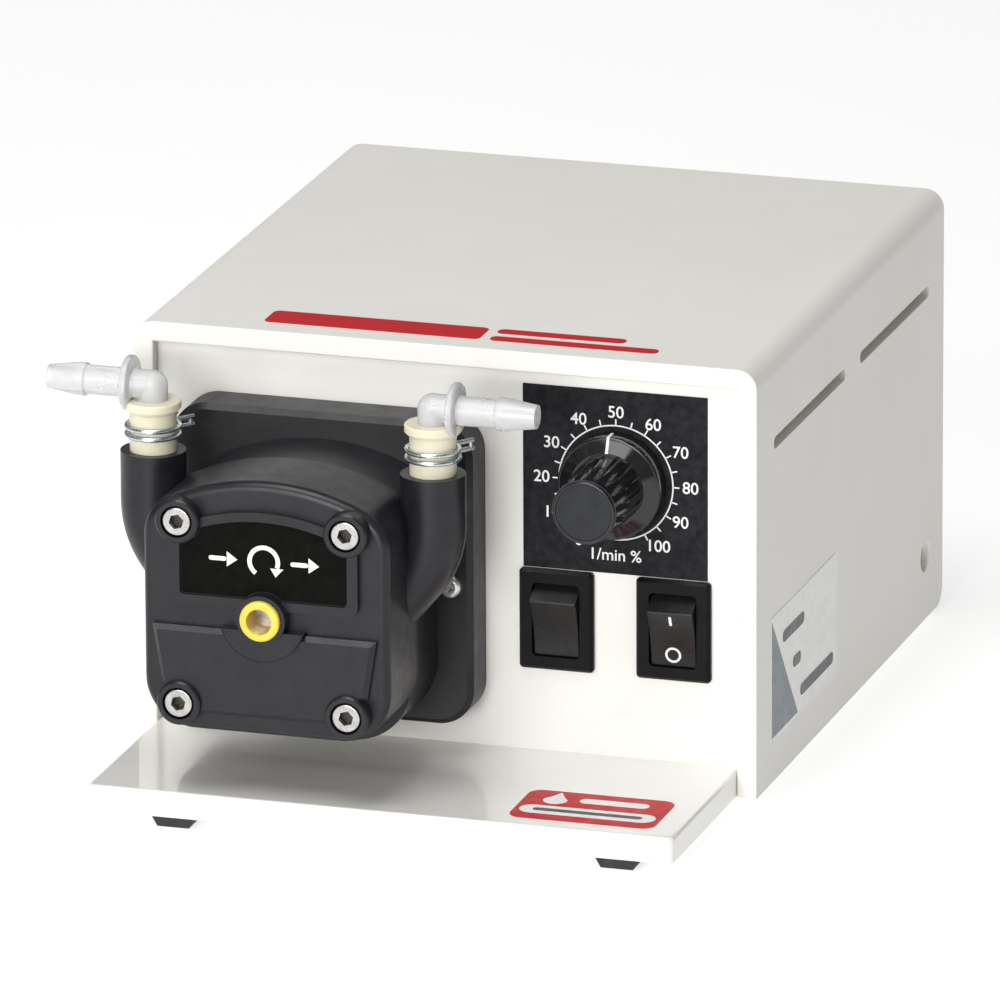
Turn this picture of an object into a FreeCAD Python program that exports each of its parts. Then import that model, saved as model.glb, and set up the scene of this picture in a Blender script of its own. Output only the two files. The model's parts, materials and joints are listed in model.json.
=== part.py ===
import FreeCAD, Part
import math
import os

# Benchtop peristaltic pump: a steel housing with a four-roller pump head on its front.
# Millimetres. X is to the right seen from the front, Y is towards the rear, Z is up.
# Everything is laid out from the middle of the housing's front edge at floor level, and
# written out with the origin at the middle of the bounding box's bottom face.

# ---- driving dimensions -------------------------------------------------------------
FOOT_H = 3.0
HOUSING_W = 190.0
HOUSING_H = 130.0
HOUSING_D = 202.0
WALL = 6.0
BEND_R = 6.0
GAP = 0.1                    # assembly gap between fixed sheet parts
RUN = 0.05                   # radial running clearance of shafts in bores
BASE_T = 8.0
BASE_OVERHANG = 65.0
PANEL_Y = 4.0                # front panel's face behind the housing lip
PANEL_T = 2.0
REAR_PANEL_Y = 196.0
DECAL_T = 0.15
DIAL_LABEL_T = 0.3

AXIS_X = -34.4               # pump, gearbox and motor axis
AXIS_Z = 66.4
PLATE_SIZE = 92.0
PLATE_R = 11.0
PLATE_FACE_Y = -10.0
GASKET_T = 0.5
TUBE_Y = -36.0               # plane of the tube and of the joint between the head's shells
HEAD_BACK_Y = PLATE_FACE_Y
HEAD_FACE_Y = -62.6
PANEL_RELIEF_Y = -64.6
BOSS_Y = -67.0
BUSH_Y = -69.0
SCREW_DX = 25.5
SCREW_DZ = 27.5

TUBE_R = 6.85
TUBE_BORE_R = 4.45
CHANNEL_R = 7.0
DUCT_R = 9.6
TRACK_R = 30.1
TUBE_TRACK_R = 23.15         # tube centre line round the track
WRAP_DEG = 50.0              # half the angle of tube that follows the track, from the bottom
PORT_X = 42.6
PORT_RIM_Z = 39.1
PORT_BEND_Z = 23.8
PORT_BEND_R = 24.7
TUBE_TOP_Z = 54.2
ELBOW_REACH = 31.6
ELBOW_RISE = 4.4

ROLLER_R = 7.5
ROLLER_PITCH_R = 18.3
ROLLER_L = 21.0
ROLLERS = 4
PIN_R = 2.0
CARRIER_R = 25.0
CARRIER_T = 3.5
SHAFT_R = 4.0
TIP_R = 3.55

GEAR_MODULE = 0.8
WHEEL_TEETH = 48
PINION_TEETH = 12
PRESSURE_DEG = 25.0
BACKLASH = 0.14
CENTRES = GEAR_MODULE * (WHEEL_TEETH + PINION_TEETH) / 2

KNOB_X = 51.0
KNOB_Z = 94.7
SWITCH_Z = 51.5
SWITCH_XS = {"left": 33.4, "right": 69.0}
BEZEL_W = 22.5
BEZEL_H = 30.5
ROCKER_TILT = 15.0

INLET_X = 52.0
INLET_Z = 58.0
INLET_W = 27.0
INLET_H = 50.0

ELBOW_TIP_X = AXIS_X - PORT_X - ELBOW_REACH
SIDE_X = HOUSING_W / 2
TOP_Z = FOOT_H + HOUSING_H
BASE_TOP_Z = FOOT_H + BASE_T
INNER_X = SIDE_X - WALL
SHEET_X = INNER_X - GAP
ORIGIN_X = (ELBOW_TIP_X + SIDE_X + DECAL_T) / 2
ORIGIN_Y = (BUSH_Y + HOUSING_D) / 2


def vec(x, y, z):
    return FreeCAD.Vector(x, y, z)


X_AXIS = vec(1, 0, 0)
Y_AXIS = vec(0, 1, 0)
Z_AXIS = vec(0, 0, 1)


# ---- small helpers ------------------------------------------------------------------
def box(x0, x1, y0, y1, z0, z1):
    return Part.makeBox(x1 - x0, y1 - y0, z1 - z0, vec(x0, y0, z0))


def rod_y(x, z, r, y0, y1):
    return Part.makeCylinder(r, y1 - y0, vec(x, y0, z), Y_AXIS)


def rod_x(y, z, r, x0, x1):
    return Part.makeCylinder(r, x1 - x0, vec(x0, y, z), X_AXIS)


def rod_z(x, y, r, z0, z1):
    return Part.makeCylinder(r, z1 - z0, vec(x, y, z0), Z_AXIS)


def cone_y(x, z, r0, r1, y0, y1):
    return Part.makeCone(r0, r1, y1 - y0, vec(x, y0, z), Y_AXIS)


def fuse(shapes):
    whole = shapes[0].fuse(shapes[1:]) if len(shapes) > 1 else shapes[0]
    return whole.removeSplitter()


def on_axis(x, z):
    """A place given from the pump axis, in housing coordinates."""
    return AXIS_X + x, AXIS_Z + z


def turned(shape, angle, x=AXIS_X, z=AXIS_Z):
    """A copy turned about a Y-parallel axis; positive follows the right hand about +Y."""
    copy = shape.copy()
    copy.rotate(vec(x, 0, z), Y_AXIS, angle)
    return copy


def slab_y(edges, y0, y1):
    """Extrude a closed outline, drawn in the plane Y = y0, to y1."""
    face = Part.Face(Part.Wire(Part.__sortEdges__(edges)))
    return face.extrude(vec(0, y1 - y0, 0))


def arc_xz(cx, cz, r, start, end, y):
    """Arc in an XZ plane between two angles in degrees, measured from +X towards +Z."""
    points = []
    for angle in (start, (start + end) / 2, end):
        a = math.radians(angle)
        points.append(vec(cx + r * math.cos(a), y, cz + r * math.sin(a)))
    return Part.Arc(*points).toShape()


def line(a, b):
    return Part.LineSegment(a, b).toShape()


def polygon_slab(points_xz, y0, y1):
    corners = [vec(x, y0, z) for x, z in points_xz]
    edges = []
    for i, corner in enumerate(corners):
        edges.append(line(corner, corners[(i + 1) % len(corners)]))
    return slab_y(edges, y0, y1)


def rounded_slab(cx, cz, w, h, r, y0, y1):
    """Rectangle with round corners in XZ, extruded along Y."""
    block = box(cx - w / 2, cx + w / 2, y0, y1, cz - h / 2, cz + h / 2)
    return round_edges(block, r, Y_AXIS)


def rounded_plate(x0, x1, y0, y1, z0, z1, r):
    """Rectangle with round corners in XY, as tall as z0 to z1."""
    return round_edges(box(x0, x1, y0, y1, z0, z1), r, Z_AXIS)


def round_edges(shape, r, direction):
    """Fillet every straight edge that runs along a direction."""
    edges = []
    for edge in shape.Edges:
        start, end = edge.Vertexes[0].Point, edge.Vertexes[-1].Point
        along = (end - start).normalize()
        if edge.Curve.TypeId == "Part::GeomLine" and abs(along.dot(direction)) > 0.999:
            edges.append(edge)
    return shape.makeFillet(r, edges)


def edges_at_y(shape, y):
    """Every edge that lies wholly in the plane Y = y."""
    found = []
    for edge in shape.Edges:
        extent = edge.BoundBox
        if abs(extent.YMin - y) < 0.01 and abs(extent.YMax - y) < 0.01:
            found.append(edge)
    return found


def edges_at_z(shape, z):
    found = []
    for edge in shape.Edges:
        extent = edge.BoundBox
        if abs(extent.ZMin - z) < 0.01 and abs(extent.ZMax - z) < 0.01:
            found.append(edge)
    return found


def hex_socket(x, z, across, y0, y1):
    points = []
    for i in range(6):
        a = math.radians(60 * i + 15)
        r = across / math.sqrt(3)
        points.append((x + r * math.cos(a), z + r * math.sin(a)))
    return polygon_slab(points, y0, y1)


# ---- housing ------------------------------------------------------------------------
SLOTS = ((18.0, 94.0), (109.5, 185.5))
SLOT_Z = 106.0
SLOT_H = 3.7
COVER_SCREW_Y = 182.3
COVER_SCREW_Z = 23.2
DIMPLE_R = 5.0
DIMPLE_FLOOR_R = 4.1
DIMPLE_DEPTH = 1.9
SCREW_SEAT_H = 1.8
COVER_SCREW_HOLE_R = 2.2


def cover():
    outer = box(-SIDE_X, SIDE_X, 0, HOUSING_D, FOOT_H, TOP_Z)
    top_edges = []
    for edge in outer.Edges:
        middle = edge.CenterOfMass
        if abs(middle.z - TOP_Z) < 0.01 and abs(middle.x) > SIDE_X - 0.01:
            top_edges.append(edge)
    outer = outer.makeFillet(BEND_R, top_edges)
    inner = box(-INNER_X, INNER_X, -1, HOUSING_D + 1, FOOT_H - 1, TOP_Z - WALL)
    shell = outer.cut(inner)
    heel_edges = []
    for edge in shell.Edges:
        middle = edge.CenterOfMass
        low_rear = abs(middle.z - FOOT_H) < 0.01 and abs(middle.y - HOUSING_D) < 0.01
        if low_rear:
            heel_edges.append(edge)
    shell = shell.makeFillet(BEND_R, heel_edges)
    lip_edges = edges_at_y(shell, 0)
    shell = shell.makeFillet(0.6, lip_edges)
    cuts = []
    for side in (-1, 1):
        wall_x = (side * SIDE_X, side * INNER_X)
        x0, x1 = min(wall_x) - 1, max(wall_x) + 1
        for y0, y1 in SLOTS:
            slot = box(x0, x1, y0, y1, SLOT_Z - SLOT_H / 2, SLOT_Z + SLOT_H / 2)
            cuts.append(round_edges(slot, SLOT_H / 2 - 0.01, X_AXIS))
        cuts.append(rod_x(COVER_SCREW_Y, COVER_SCREW_Z, COVER_SCREW_HOLE_R, x0, x1))
        inward = vec(-side, 0, 0)
        mouth = vec(side * SIDE_X, COVER_SCREW_Y, COVER_SCREW_Z)
        seat = mouth + inward * DIMPLE_DEPTH
        cuts.append(Part.makeCone(DIMPLE_R, DIMPLE_FLOOR_R, DIMPLE_DEPTH, mouth, inward))
        cuts.append(Part.makeCone(DIMPLE_FLOOR_R, COVER_SCREW_HOLE_R, SCREW_SEAT_H, seat, inward))
    return shell.cut(cuts)


BASE_CORNER_R = 2.5
BASE_EDGE_R = 1.2
RAIL_W = 5.0
RAIL_TOP_Z = 32.0
STANDOFF_XY = ((8.0, 30.0), (78.0, 30.0), (8.0, 98.0), (78.0, 98.0))
STANDOFF_H = 8.0


def base_plate():
    plate = rounded_plate(-SHEET_X, SHEET_X, -BASE_OVERHANG, REAR_PANEL_Y + PANEL_T,
                          FOOT_H, BASE_TOP_Z, BASE_CORNER_R)
    plate = plate.makeFillet(BASE_EDGE_R, edges_at_z(plate, BASE_TOP_Z))
    plate = plate.makeFillet(BASE_EDGE_R / 2, edges_at_z(plate, FOOT_H))
    pieces = [plate]
    for side in (-1, 1):
        rail_x = (side * SHEET_X, side * (SHEET_X - RAIL_W))
        rail = box(min(rail_x), max(rail_x), 12, REAR_PANEL_Y - GAP, BASE_TOP_Z - 2, RAIL_TOP_Z)
        pieces.append(rail)
    for x, y in STANDOFF_XY:
        pieces.append(rod_z(x, y, 3, BASE_TOP_Z - 1, BASE_TOP_Z + STANDOFF_H))
    whole = fuse(pieces)
    holes = []
    for side in (-1, 1):
        screw_x = (side * (SHEET_X + 1), side * (SHEET_X - RAIL_W - 1))
        holes.append(rod_x(COVER_SCREW_Y, COVER_SCREW_Z, 2.0, min(screw_x), max(screw_x)))
        rail_mid = side * (SHEET_X - RAIL_W / 2)
        holes.append(rod_y(rail_mid, RAIL_TOP_Z - 5, 1.5, REAR_PANEL_Y - 12, REAR_PANEL_Y))
    return whole.cut(holes)


def front_panel():
    panel = box(-SHEET_X, SHEET_X, PANEL_Y, PANEL_Y + PANEL_T, BASE_TOP_Z, TOP_Z - WALL - GAP)
    y0, y1 = PANEL_Y - 1, PANEL_Y + PANEL_T + 1
    cuts = [rod_y(AXIS_X, AXIS_Z, 8, y0, y1)]
    for dx in (-PLATE_SCREW_DX, PLATE_SCREW_DX):
        cuts.append(rod_y(AXIS_X + dx, AXIS_Z + PLATE_SCREW_DZ, 2.1, y0, y1))
    cuts.append(rod_y(KNOB_X, KNOB_Z, 4.6, y0, y1))
    for x in SWITCH_XS.values():
        cuts.append(box(x - 9.6, x + 9.6, y0, y1, SWITCH_Z - 13.6, SWITCH_Z + 13.6))
    return panel.cut(cuts)


def rear_panel():
    y0, y1 = REAR_PANEL_Y, REAR_PANEL_Y + PANEL_T
    panel = box(-SHEET_X, SHEET_X, y0, y1, BASE_TOP_Z, TOP_Z - WALL - GAP)
    cuts = [box(INLET_X - 12.1, INLET_X + 12.1, y0 - 1, y1 + 1, INLET_Z - 21.1, INLET_Z + 21.1)]
    for side in (-1, 1):
        cuts.append(rod_y(side * (SHEET_X - RAIL_W / 2), RAIL_TOP_Z - 5, 1.7, y0 - 1, y1 + 1))
    for i in range(8):
        x = -60 + 8 * i
        vent = box(x - 1.5, x + 1.5, y0 - 1, y1 + 1, 72, 108)
        cuts.append(round_edges(vent, 1.49, Y_AXIS))
    return panel.cut(cuts)


FOOT_TOP = 12.7
FOOT_BOTTOM_W = 9.5
FOOT_BOTTOM_D = 12.0
FOOT_XY = ((-62.7, -58.3), (71.9, -58.3), (-62.7, 182.0), (71.9, 182.0))


def foot(x, y):
    """Square rubber bumper with sloping sides, wider at the top."""
    loops = []
    for w, d, z in ((FOOT_BOTTOM_W / 2, FOOT_BOTTOM_D / 2, 0.0),
                    (FOOT_TOP / 2, FOOT_TOP / 2, FOOT_H)):
        corners = [vec(x - w, y - d, z), vec(x + w, y - d, z),
                   vec(x + w, y + d, z), vec(x - w, y + d, z)]
        loops.append(Part.makePolygon(corners + corners[:1]))
    bumper = Part.makeLoft(loops, True, True)
    return bumper.makeFillet(0.5, edges_at_z(bumper, 0))


def cross_recess(place, normal, size, depth):
    """Two crossed blades that cut a cross recess below a place, along a normal."""
    blades = []
    side = Z_AXIS if abs(normal.z) < 0.5 else X_AXIS
    other = normal.cross(side)
    for first, second in ((side, other), (other, side)):
        corner = place - first * (size / 2) - second * (size / 7) - normal * depth
        outline = [corner, corner + first * size, corner + first * size + second * (size / 3.5),
                   corner + second * (size / 3.5), corner]
        blades.append(Part.Face(Part.makePolygon(outline)).extrude(normal * (depth + 1)))
    return blades


def cover_screws():
    screws = []
    for side in (-1, 1):
        head_x = side * (SIDE_X - DIMPLE_DEPTH)
        start = vec(head_x, COVER_SCREW_Y, COVER_SCREW_Z)
        inward = vec(-side, 0, 0)
        head = Part.makeCone(3.9, 1.95, 1.7, start, inward)
        shank = Part.makeCylinder(1.95, 8.1, start, inward)
        screw = fuse([head, shank])
        screws.append(screw.cut(cross_recess(start, vec(side, 0, 0), 3.6, 1.4)))
    return screws


def chassis_screws():
    screws = []
    for side in (-1, 1):
        x, z = side * (SHEET_X - RAIL_W / 2), RAIL_TOP_Z - 5
        rear = REAR_PANEL_Y + PANEL_T
        head = rod_y(x, z, 2.3, rear, rear + 1.8)
        head = head.makeFillet(0.8, edges_at_y(head, rear + 1.8))
        screw = fuse([head, rod_y(x, z, 1.45, rear - 10, rear + 0.5)])
        screws.append(screw.cut(cross_recess(vec(x, rear + 1.8, z), Y_AXIS, 2.6, 1.1)))
    return screws


def side_sticker():
    sheet = box(SIDE_X, SIDE_X + DECAL_T, 14.5, 84.4, 15.5, 53.5)
    return round_edges(sheet, 1.0, X_AXIS)


def base_label():
    return rounded_plate(36.8, 80.8, -58.5, -32.5, BASE_TOP_Z, BASE_TOP_Z + DECAL_T, 4.0)


STRIPES = ((-58.0, 8.0, 9.0, 12.0), (11.0, 62.0, 9.0, 4.5), (11.0, 50.0, 16.5, 4.5))
STRIPE_R = 2.0


def top_stripe():
    """Painted stripes in front on the top: a broad one on the left, two narrow ones on the right."""
    stripes = []
    for x0, x1, y0, width in STRIPES:
        stripes.append(rounded_plate(x0, x1, y0, y0 + width, TOP_Z, TOP_Z + DECAL_T, STRIPE_R))
    return stripes


# ---- pump head ----------------------------------------------------------------------
PLATE_SCREW_DX = 39.4
PLATE_SCREW_DZ = -3.0


def adapter_plate():
    plate = rounded_slab(AXIS_X, AXIS_Z, PLATE_SIZE, PLATE_SIZE, PLATE_R,
                         PLATE_FACE_Y, PANEL_Y - GASKET_T)
    plate = plate.makeChamfer(1.7, edges_at_y(plate, PLATE_FACE_Y))
    cuts = [rod_y(AXIS_X, AXIS_Z, 8, PLATE_FACE_Y - 1, PANEL_Y)]
    for dx in (-PLATE_SCREW_DX, PLATE_SCREW_DX):
        cuts.append(rod_y(AXIS_X + dx, AXIS_Z + PLATE_SCREW_DZ, 2.1, PLATE_FACE_Y - 1, PANEL_Y))
    return plate.cut(cuts)


def flange_gasket():
    sheet = rounded_slab(AXIS_X, AXIS_Z, PLATE_SIZE - 1, PLATE_SIZE - 1, PLATE_R - 0.5,
                         PANEL_Y - GASKET_T, PANEL_Y)
    cuts = [rod_y(AXIS_X, AXIS_Z, 8, 0, PANEL_Y + 1)]
    for dx in (-PLATE_SCREW_DX, PLATE_SCREW_DX):
        cuts.append(rod_y(AXIS_X + dx, AXIS_Z + PLATE_SCREW_DZ, 2.1, 0, PANEL_Y + 1))
    return sheet.cut(cuts)


def plate_screws():
    screws = []
    for dx in (-PLATE_SCREW_DX, PLATE_SCREW_DX):
        x, z = on_axis(dx, PLATE_SCREW_DZ)
        head = rod_y(x, z, 3.6, PLATE_FACE_Y - 2.2, PLATE_FACE_Y)
        head = head.makeFillet(1.5, edges_at_y(head, PLATE_FACE_Y - 2.2))
        shank = rod_y(x, z, 2.0, PLATE_FACE_Y - 0.5, PANEL_Y + PANEL_T + 3)
        screw = fuse([head, shank])
        screws.append(screw.cut(hex_socket(x, z, 2.5, PLATE_FACE_Y - 3, PLATE_FACE_Y - 1)))
    return screws


def head_outline(half_w, bottom, corner_r, arch_top, arch_r, shoulder_r, y):
    """The head's outline about the pump axis: flat bottom, straight sides, arched top."""
    arch_z = arch_top - arch_r
    shoulder_x = half_w - shoulder_r
    reach = arch_r - shoulder_r
    shoulder_z = arch_z + math.sqrt(reach ** 2 - shoulder_x ** 2)
    lean = math.degrees(math.atan2(shoulder_z - arch_z, shoulder_x))
    foot_x = half_w - corner_r
    foot_z = bottom + corner_r
    cx, cz = AXIS_X, AXIS_Z

    def point(x, z):
        return vec(cx + x, y, cz + z)

    return [
        line(point(-foot_x, bottom), point(foot_x, bottom)),
        arc_xz(cx + foot_x, cz + foot_z, corner_r, -90, 0, y),
        line(point(half_w, foot_z), point(half_w, shoulder_z)),
        arc_xz(cx + shoulder_x, cz + shoulder_z, shoulder_r, 0, lean, y),
        arc_xz(cx, cz + arch_z, arch_r, lean, 180 - lean, y),
        arc_xz(cx - shoulder_x, cz + shoulder_z, shoulder_r, 180 - lean, 180, y),
        line(point(-half_w, shoulder_z), point(-half_w, foot_z)),
        arc_xz(cx - foot_x, cz + foot_z, corner_r, 180, 270, y),
    ]


def head_point(x, z):
    """A point in the tube's plane, given from the pump axis."""
    return vec(AXIS_X + x, TUBE_Y, AXIS_Z + z)


def head_arc(cx, cz, r, start, end):
    return arc_xz(AXIS_X + cx, AXIS_Z + cz, r, start, end, TUBE_Y)


def port_path(top, side):
    """Centre line of one port: straight down, a bend, and a slant to the track."""
    turn = 90 - WRAP_DEG
    centre_x = PORT_X - PORT_BEND_R
    a = math.radians(turn)
    bend_end = (centre_x + PORT_BEND_R * math.cos(a), PORT_BEND_Z - PORT_BEND_R * math.sin(a))
    b = math.radians(WRAP_DEG)
    entry = (TUBE_TRACK_R * math.sin(b), -TUBE_TRACK_R * math.cos(b))
    first, last = (0, -turn) if side > 0 else (180, 180 + turn)
    return [
        line(head_point(side * PORT_X, top), head_point(side * PORT_X, PORT_BEND_Z)),
        head_arc(side * centre_x, PORT_BEND_Z, PORT_BEND_R, first, last),
        line(head_point(side * bend_end[0], bend_end[1]), head_point(side * entry[0], entry[1])),
    ]


def sweep(path, radius, top, side):
    """A round bar along a path that starts straight down from a port's top."""
    wire = Part.Wire(Part.__sortEdges__(path))
    start = head_point(side * PORT_X, top)
    ring = Part.Wire(Part.makeCircle(radius, start, Z_AXIS))
    return wire.makePipeShell([ring], True, True)


def tube_bar(radius, top):
    """The whole tube as a solid bar: down one port, round the track and up the other."""
    wrap = head_arc(0, 0, TUBE_TRACK_R, -90 - WRAP_DEG, -90 + WRAP_DEG)
    path = port_path(top, -1) + [wrap] + port_path(top, 1)
    return sweep(path, radius, top, -1)


def tube_channel():
    return tube_bar(CHANNEL_R, PORT_RIM_Z + 1)


def duct(side):
    """One port's outer wall at full depth, before it is split with the shells."""
    return sweep(port_path(PORT_RIM_Z, side), DUCT_R, PORT_RIM_Z, side)


POCKET_R = 26.0
ROTOR_FRONT_Y = -57.0
ROTOR_BACK_Y = -16.0


def shell_cavity():
    """Room for the rotor: a wide track round the rollers and pockets for the carriers."""
    track = rod_y(AXIS_X, AXIS_Z, TRACK_R, TUBE_Y - ROLLER_L / 2 - 0.5, TUBE_Y + ROLLER_L / 2 + 0.5)
    pockets = rod_y(AXIS_X, AXIS_Z, POCKET_R, ROTOR_FRONT_Y, ROTOR_BACK_Y)
    return fuse([track, pockets])


def split_half(shape, front):
    """The part of a shape in front of, or behind, the plane where the shells meet."""
    y0, y1 = (-90, TUBE_Y) if front else (TUBE_Y, 20)
    return shape.common(box(-130, 100, y0, y1, 0, 140))


def screw_spots():
    return [on_axis(sx * SCREW_DX, sz * SCREW_DZ) for sx in (-1, 1) for sz in (-1, 1)]


def pump_rear_shell():
    body = slab_y(head_outline(35.4, -44.0, 18.0, 38.4, 67.0, 13.0, TUBE_Y), TUBE_Y, HEAD_BACK_Y)
    body = fuse([body] + [split_half(duct(side), False) for side in (-1, 1)])
    cuts = [shell_cavity(), tube_channel()]
    cuts.append(rod_y(AXIS_X, AXIS_Z, BEARING_R, ROTOR_BACK_Y - 1, HEAD_BACK_Y - 1))
    cuts.append(rod_y(AXIS_X, AXIS_Z, 6.5, HEAD_BACK_Y - 2, HEAD_BACK_Y + 1))
    for x, z in screw_spots():
        cuts.append(rod_y(x, z, 2.55, TUBE_Y - 1, HEAD_BACK_Y - 4))
    return body.cut(cuts)


FRAME_Y = PANEL_RELIEF_Y


def label_frame():
    """Raised frame round the label window: straight bottom, arched top."""
    return slab_y(head_outline(28.6, 2.4, 3.0, 31.6, 62.0, 5.0, FRAME_Y), FRAME_Y, HEAD_FACE_Y + 1)


def label_window(y0, y1, inset):
    half = 25.4 - inset
    return slab_y(head_outline(half, 5.2 + inset, 1.2, 28.8 - inset, 60.0, 3.0, y0), y0, y1)


def lower_panel():
    """Raised panel below the label, narrowing downwards, with a bevelled edge."""
    points = [on_axis(x, z) for x, z in ((-34, -4.5), (34, -4.5), (31.2, -22), (20.0, -30.5),
                                         (-20.0, -30.5), (-31.2, -22))]
    slab = polygon_slab(points, PANEL_RELIEF_Y - 0.8, HEAD_FACE_Y + 1)
    return slab.makeChamfer(1.4, edges_at_y(slab, PANEL_RELIEF_Y - 0.8))


PEDESTAL_R = 13.0
PEDESTAL_Y = -66.6
PEDESTAL_DROP = 3.6          # the half-round pedestal's flat top, below the pump axis


def pump_front_shell():
    body = slab_y(head_outline(37.3, -36.5, 15.0, 40.0, 70.0, 13.0, HEAD_FACE_Y),
                  HEAD_FACE_Y, TUBE_Y)
    body = body.makeFillet(2.6, edges_at_y(body, HEAD_FACE_Y))
    pieces = [body, label_frame(), lower_panel()]
    pieces += [split_half(duct(side), True) for side in (-1, 1)]
    for x, z in screw_spots():
        boss = rod_y(x, z, 6.6, BOSS_Y, HEAD_FACE_Y + 4)
        pieces.append(boss.makeChamfer(0.5, edges_at_y(boss, BOSS_Y)))
    pedestal = rod_y(AXIS_X, AXIS_Z, PEDESTAL_R, PEDESTAL_Y, HEAD_FACE_Y + 1)
    pedestal = pedestal.makeChamfer(0.5, edges_at_y(pedestal, PEDESTAL_Y))
    x0, z0 = on_axis(-PEDESTAL_R, -PEDESTAL_R)
    pedestal = pedestal.common(box(x0, x0 + 2 * PEDESTAL_R, PEDESTAL_Y, HEAD_FACE_Y + 1,
                                   z0, AXIS_Z - PEDESTAL_DROP))
    pieces.append(pedestal)
    pieces.append(rod_y(AXIS_X, AXIS_Z, 7.4, BUSH_Y + 1.5, HEAD_FACE_Y + 1))
    whole = fuse(pieces)
    cuts = [shell_cavity(), tube_channel()]
    window_cut = label_window(FRAME_Y - 1, FRAME_Y + 1.2, 0)
    keep = [rod_y(AXIS_X, AXIS_Z, 7.4, BOSS_Y - 2, HEAD_FACE_Y + 1)]
    for x, z in screw_spots():
        keep.append(rod_y(x, z, 6.6, BOSS_Y - 2, HEAD_FACE_Y + 1))
    cuts.append(window_cut.cut(keep))
    cuts.append(rod_y(AXIS_X, AXIS_Z, 5.0, BUSH_Y, ROTOR_FRONT_Y + 1))
    for x, z in screw_spots():
        cuts.append(rod_y(x, z, 2.6, BOSS_Y - 1, TUBE_Y + 1))
        cuts.append(rod_y(x, z, 4.8, BOSS_Y - 1, BOSS_Y + 5))
    return whole.cut(cuts)


def head_label():
    sheet = label_window(FRAME_Y + 0.9, FRAME_Y + 1.2, 0.3)
    keep_clear = [rod_y(AXIS_X, AXIS_Z, 7.7, FRAME_Y, HEAD_FACE_Y + 1)]
    for x, z in screw_spots():
        keep_clear.append(rod_y(x, z, 6.9, FRAME_Y, HEAD_FACE_Y + 1))
    return sheet.cut(keep_clear)


def head_screws():
    screws = []
    for x, z in screw_spots():
        head = rod_y(x, z, 4.25, BOSS_Y + 0.2, BOSS_Y + 5)
        head = head.makeFillet(0.5, edges_at_y(head, BOSS_Y + 0.2))
        shank = rod_y(x, z, 2.5, BOSS_Y + 4, HEAD_BACK_Y - 6)
        screw = fuse([head, shank])
        screws.append(screw.cut(hex_socket(x, z, 4.0, BOSS_Y - 1, BOSS_Y + 2.9)))
    return screws


BUSH_FLANGE_R = 6.05
BUSH_MOUTH_R = 3.85
BUSH_MOUTH_END_Y = -61.5


def front_bush():
    """Flanged bush; its bore is a little wider in front of the shaft's end."""
    flange = rod_y(AXIS_X, AXIS_Z, BUSH_FLANGE_R, BUSH_Y, BUSH_Y + 1.5)
    flange = flange.makeFillet(0.9, edges_at_y(flange, BUSH_Y))
    sleeve = rod_y(AXIS_X, AXIS_Z, 5.0, BUSH_Y + 1, ROTOR_FRONT_Y)
    bore = rod_y(AXIS_X, AXIS_Z, TIP_R + RUN, BUSH_Y - 1, ROTOR_FRONT_Y + 1)
    mouth = rod_y(AXIS_X, AXIS_Z, BUSH_MOUTH_R, BUSH_Y - 1, BUSH_MOUTH_END_Y)
    return fuse([flange, sleeve]).cut([bore, mouth])


BEARING_R = 11.0


def rear_bearing():
    y0, y1 = ROTOR_BACK_Y, HEAD_BACK_Y - 1
    ring = rod_y(AXIS_X, AXIS_Z, BEARING_R, y0, y1)
    ring = ring.cut(rod_y(AXIS_X, AXIS_Z, SHAFT_R + RUN, y0 - 1, y1 + 1))
    groove = rod_y(AXIS_X, AXIS_Z, 8.8, y0 - 1, y0 + 0.5)
    groove = groove.cut(rod_y(AXIS_X, AXIS_Z, 6.2, y0 - 2, y0 + 1))
    return ring.cut(groove)


COLLAR_R = 8.3
COLLAR_H = 3.6


def pump_tube():
    pieces = [tube_bar(TUBE_R, TUBE_TOP_Z)]
    cuts = []
    for side in (-1, 1):
        x, z = on_axis(side * PORT_X, 0)
        top = z + TUBE_TOP_Z
        collar = rod_z(x, TUBE_Y, COLLAR_R, top - COLLAR_H, top)
        collar = collar.makeFillet(0.5, edges_at_z(collar, top))
        collar = collar.makeChamfer(1.3, edges_at_z(collar, top - COLLAR_H))
        pieces.append(collar)
        cuts.append(rod_z(x, TUBE_Y, TUBE_BORE_R, z + TUBE_TOP_Z - ELBOW_LEG, z + TUBE_TOP_Z + 1))
    whole = fuse(pieces)
    for angle in roller_angles():
        x, z = roller_place(angle)
        cuts.append(rod_y(x, z, ROLLER_R + 0.12, TUBE_Y - 12, TUBE_Y + 12))
    return whole.cut(cuts)


CLIP_WIRE_R = 0.75
CLIP_RING_R = 7.65
CLIP_Z = 45.2
EAR_WIRE_R = 0.68
EAR_BAR_R = 0.6
EAR_L = 7.0
EAR_ANGLES = (55.0, 81.0)
CLIP_HALF_GAP = 1.2


def hose_clip(side):
    """Double-wire spring clip: two wire rings with squeeze ears standing out behind."""
    x, z = on_axis(side * PORT_X, CLIP_Z)
    pieces = []
    for dz in (-CLIP_HALF_GAP, CLIP_HALF_GAP):
        pieces.append(Part.makeTorus(CLIP_RING_R, CLIP_WIRE_R, vec(x, TUBE_Y, z + dz), Z_AXIS))
    for angle in EAR_ANGLES:
        a = math.radians(angle)
        outward = vec(math.cos(a), math.sin(a), 0)
        inner = vec(x, TUBE_Y, z) + outward * CLIP_RING_R
        for dz in (-CLIP_HALF_GAP, CLIP_HALF_GAP):
            pieces.append(Part.makeCylinder(EAR_WIRE_R, EAR_L, inner + vec(0, 0, dz), outward))
        foot_point = inner + outward * (EAR_L - 1) - vec(0, 0, CLIP_HALF_GAP)
        pieces.append(Part.makeCylinder(EAR_BAR_R, 2 * CLIP_HALF_GAP, foot_point, Z_AXIS))
    return fuse(pieces)


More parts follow.
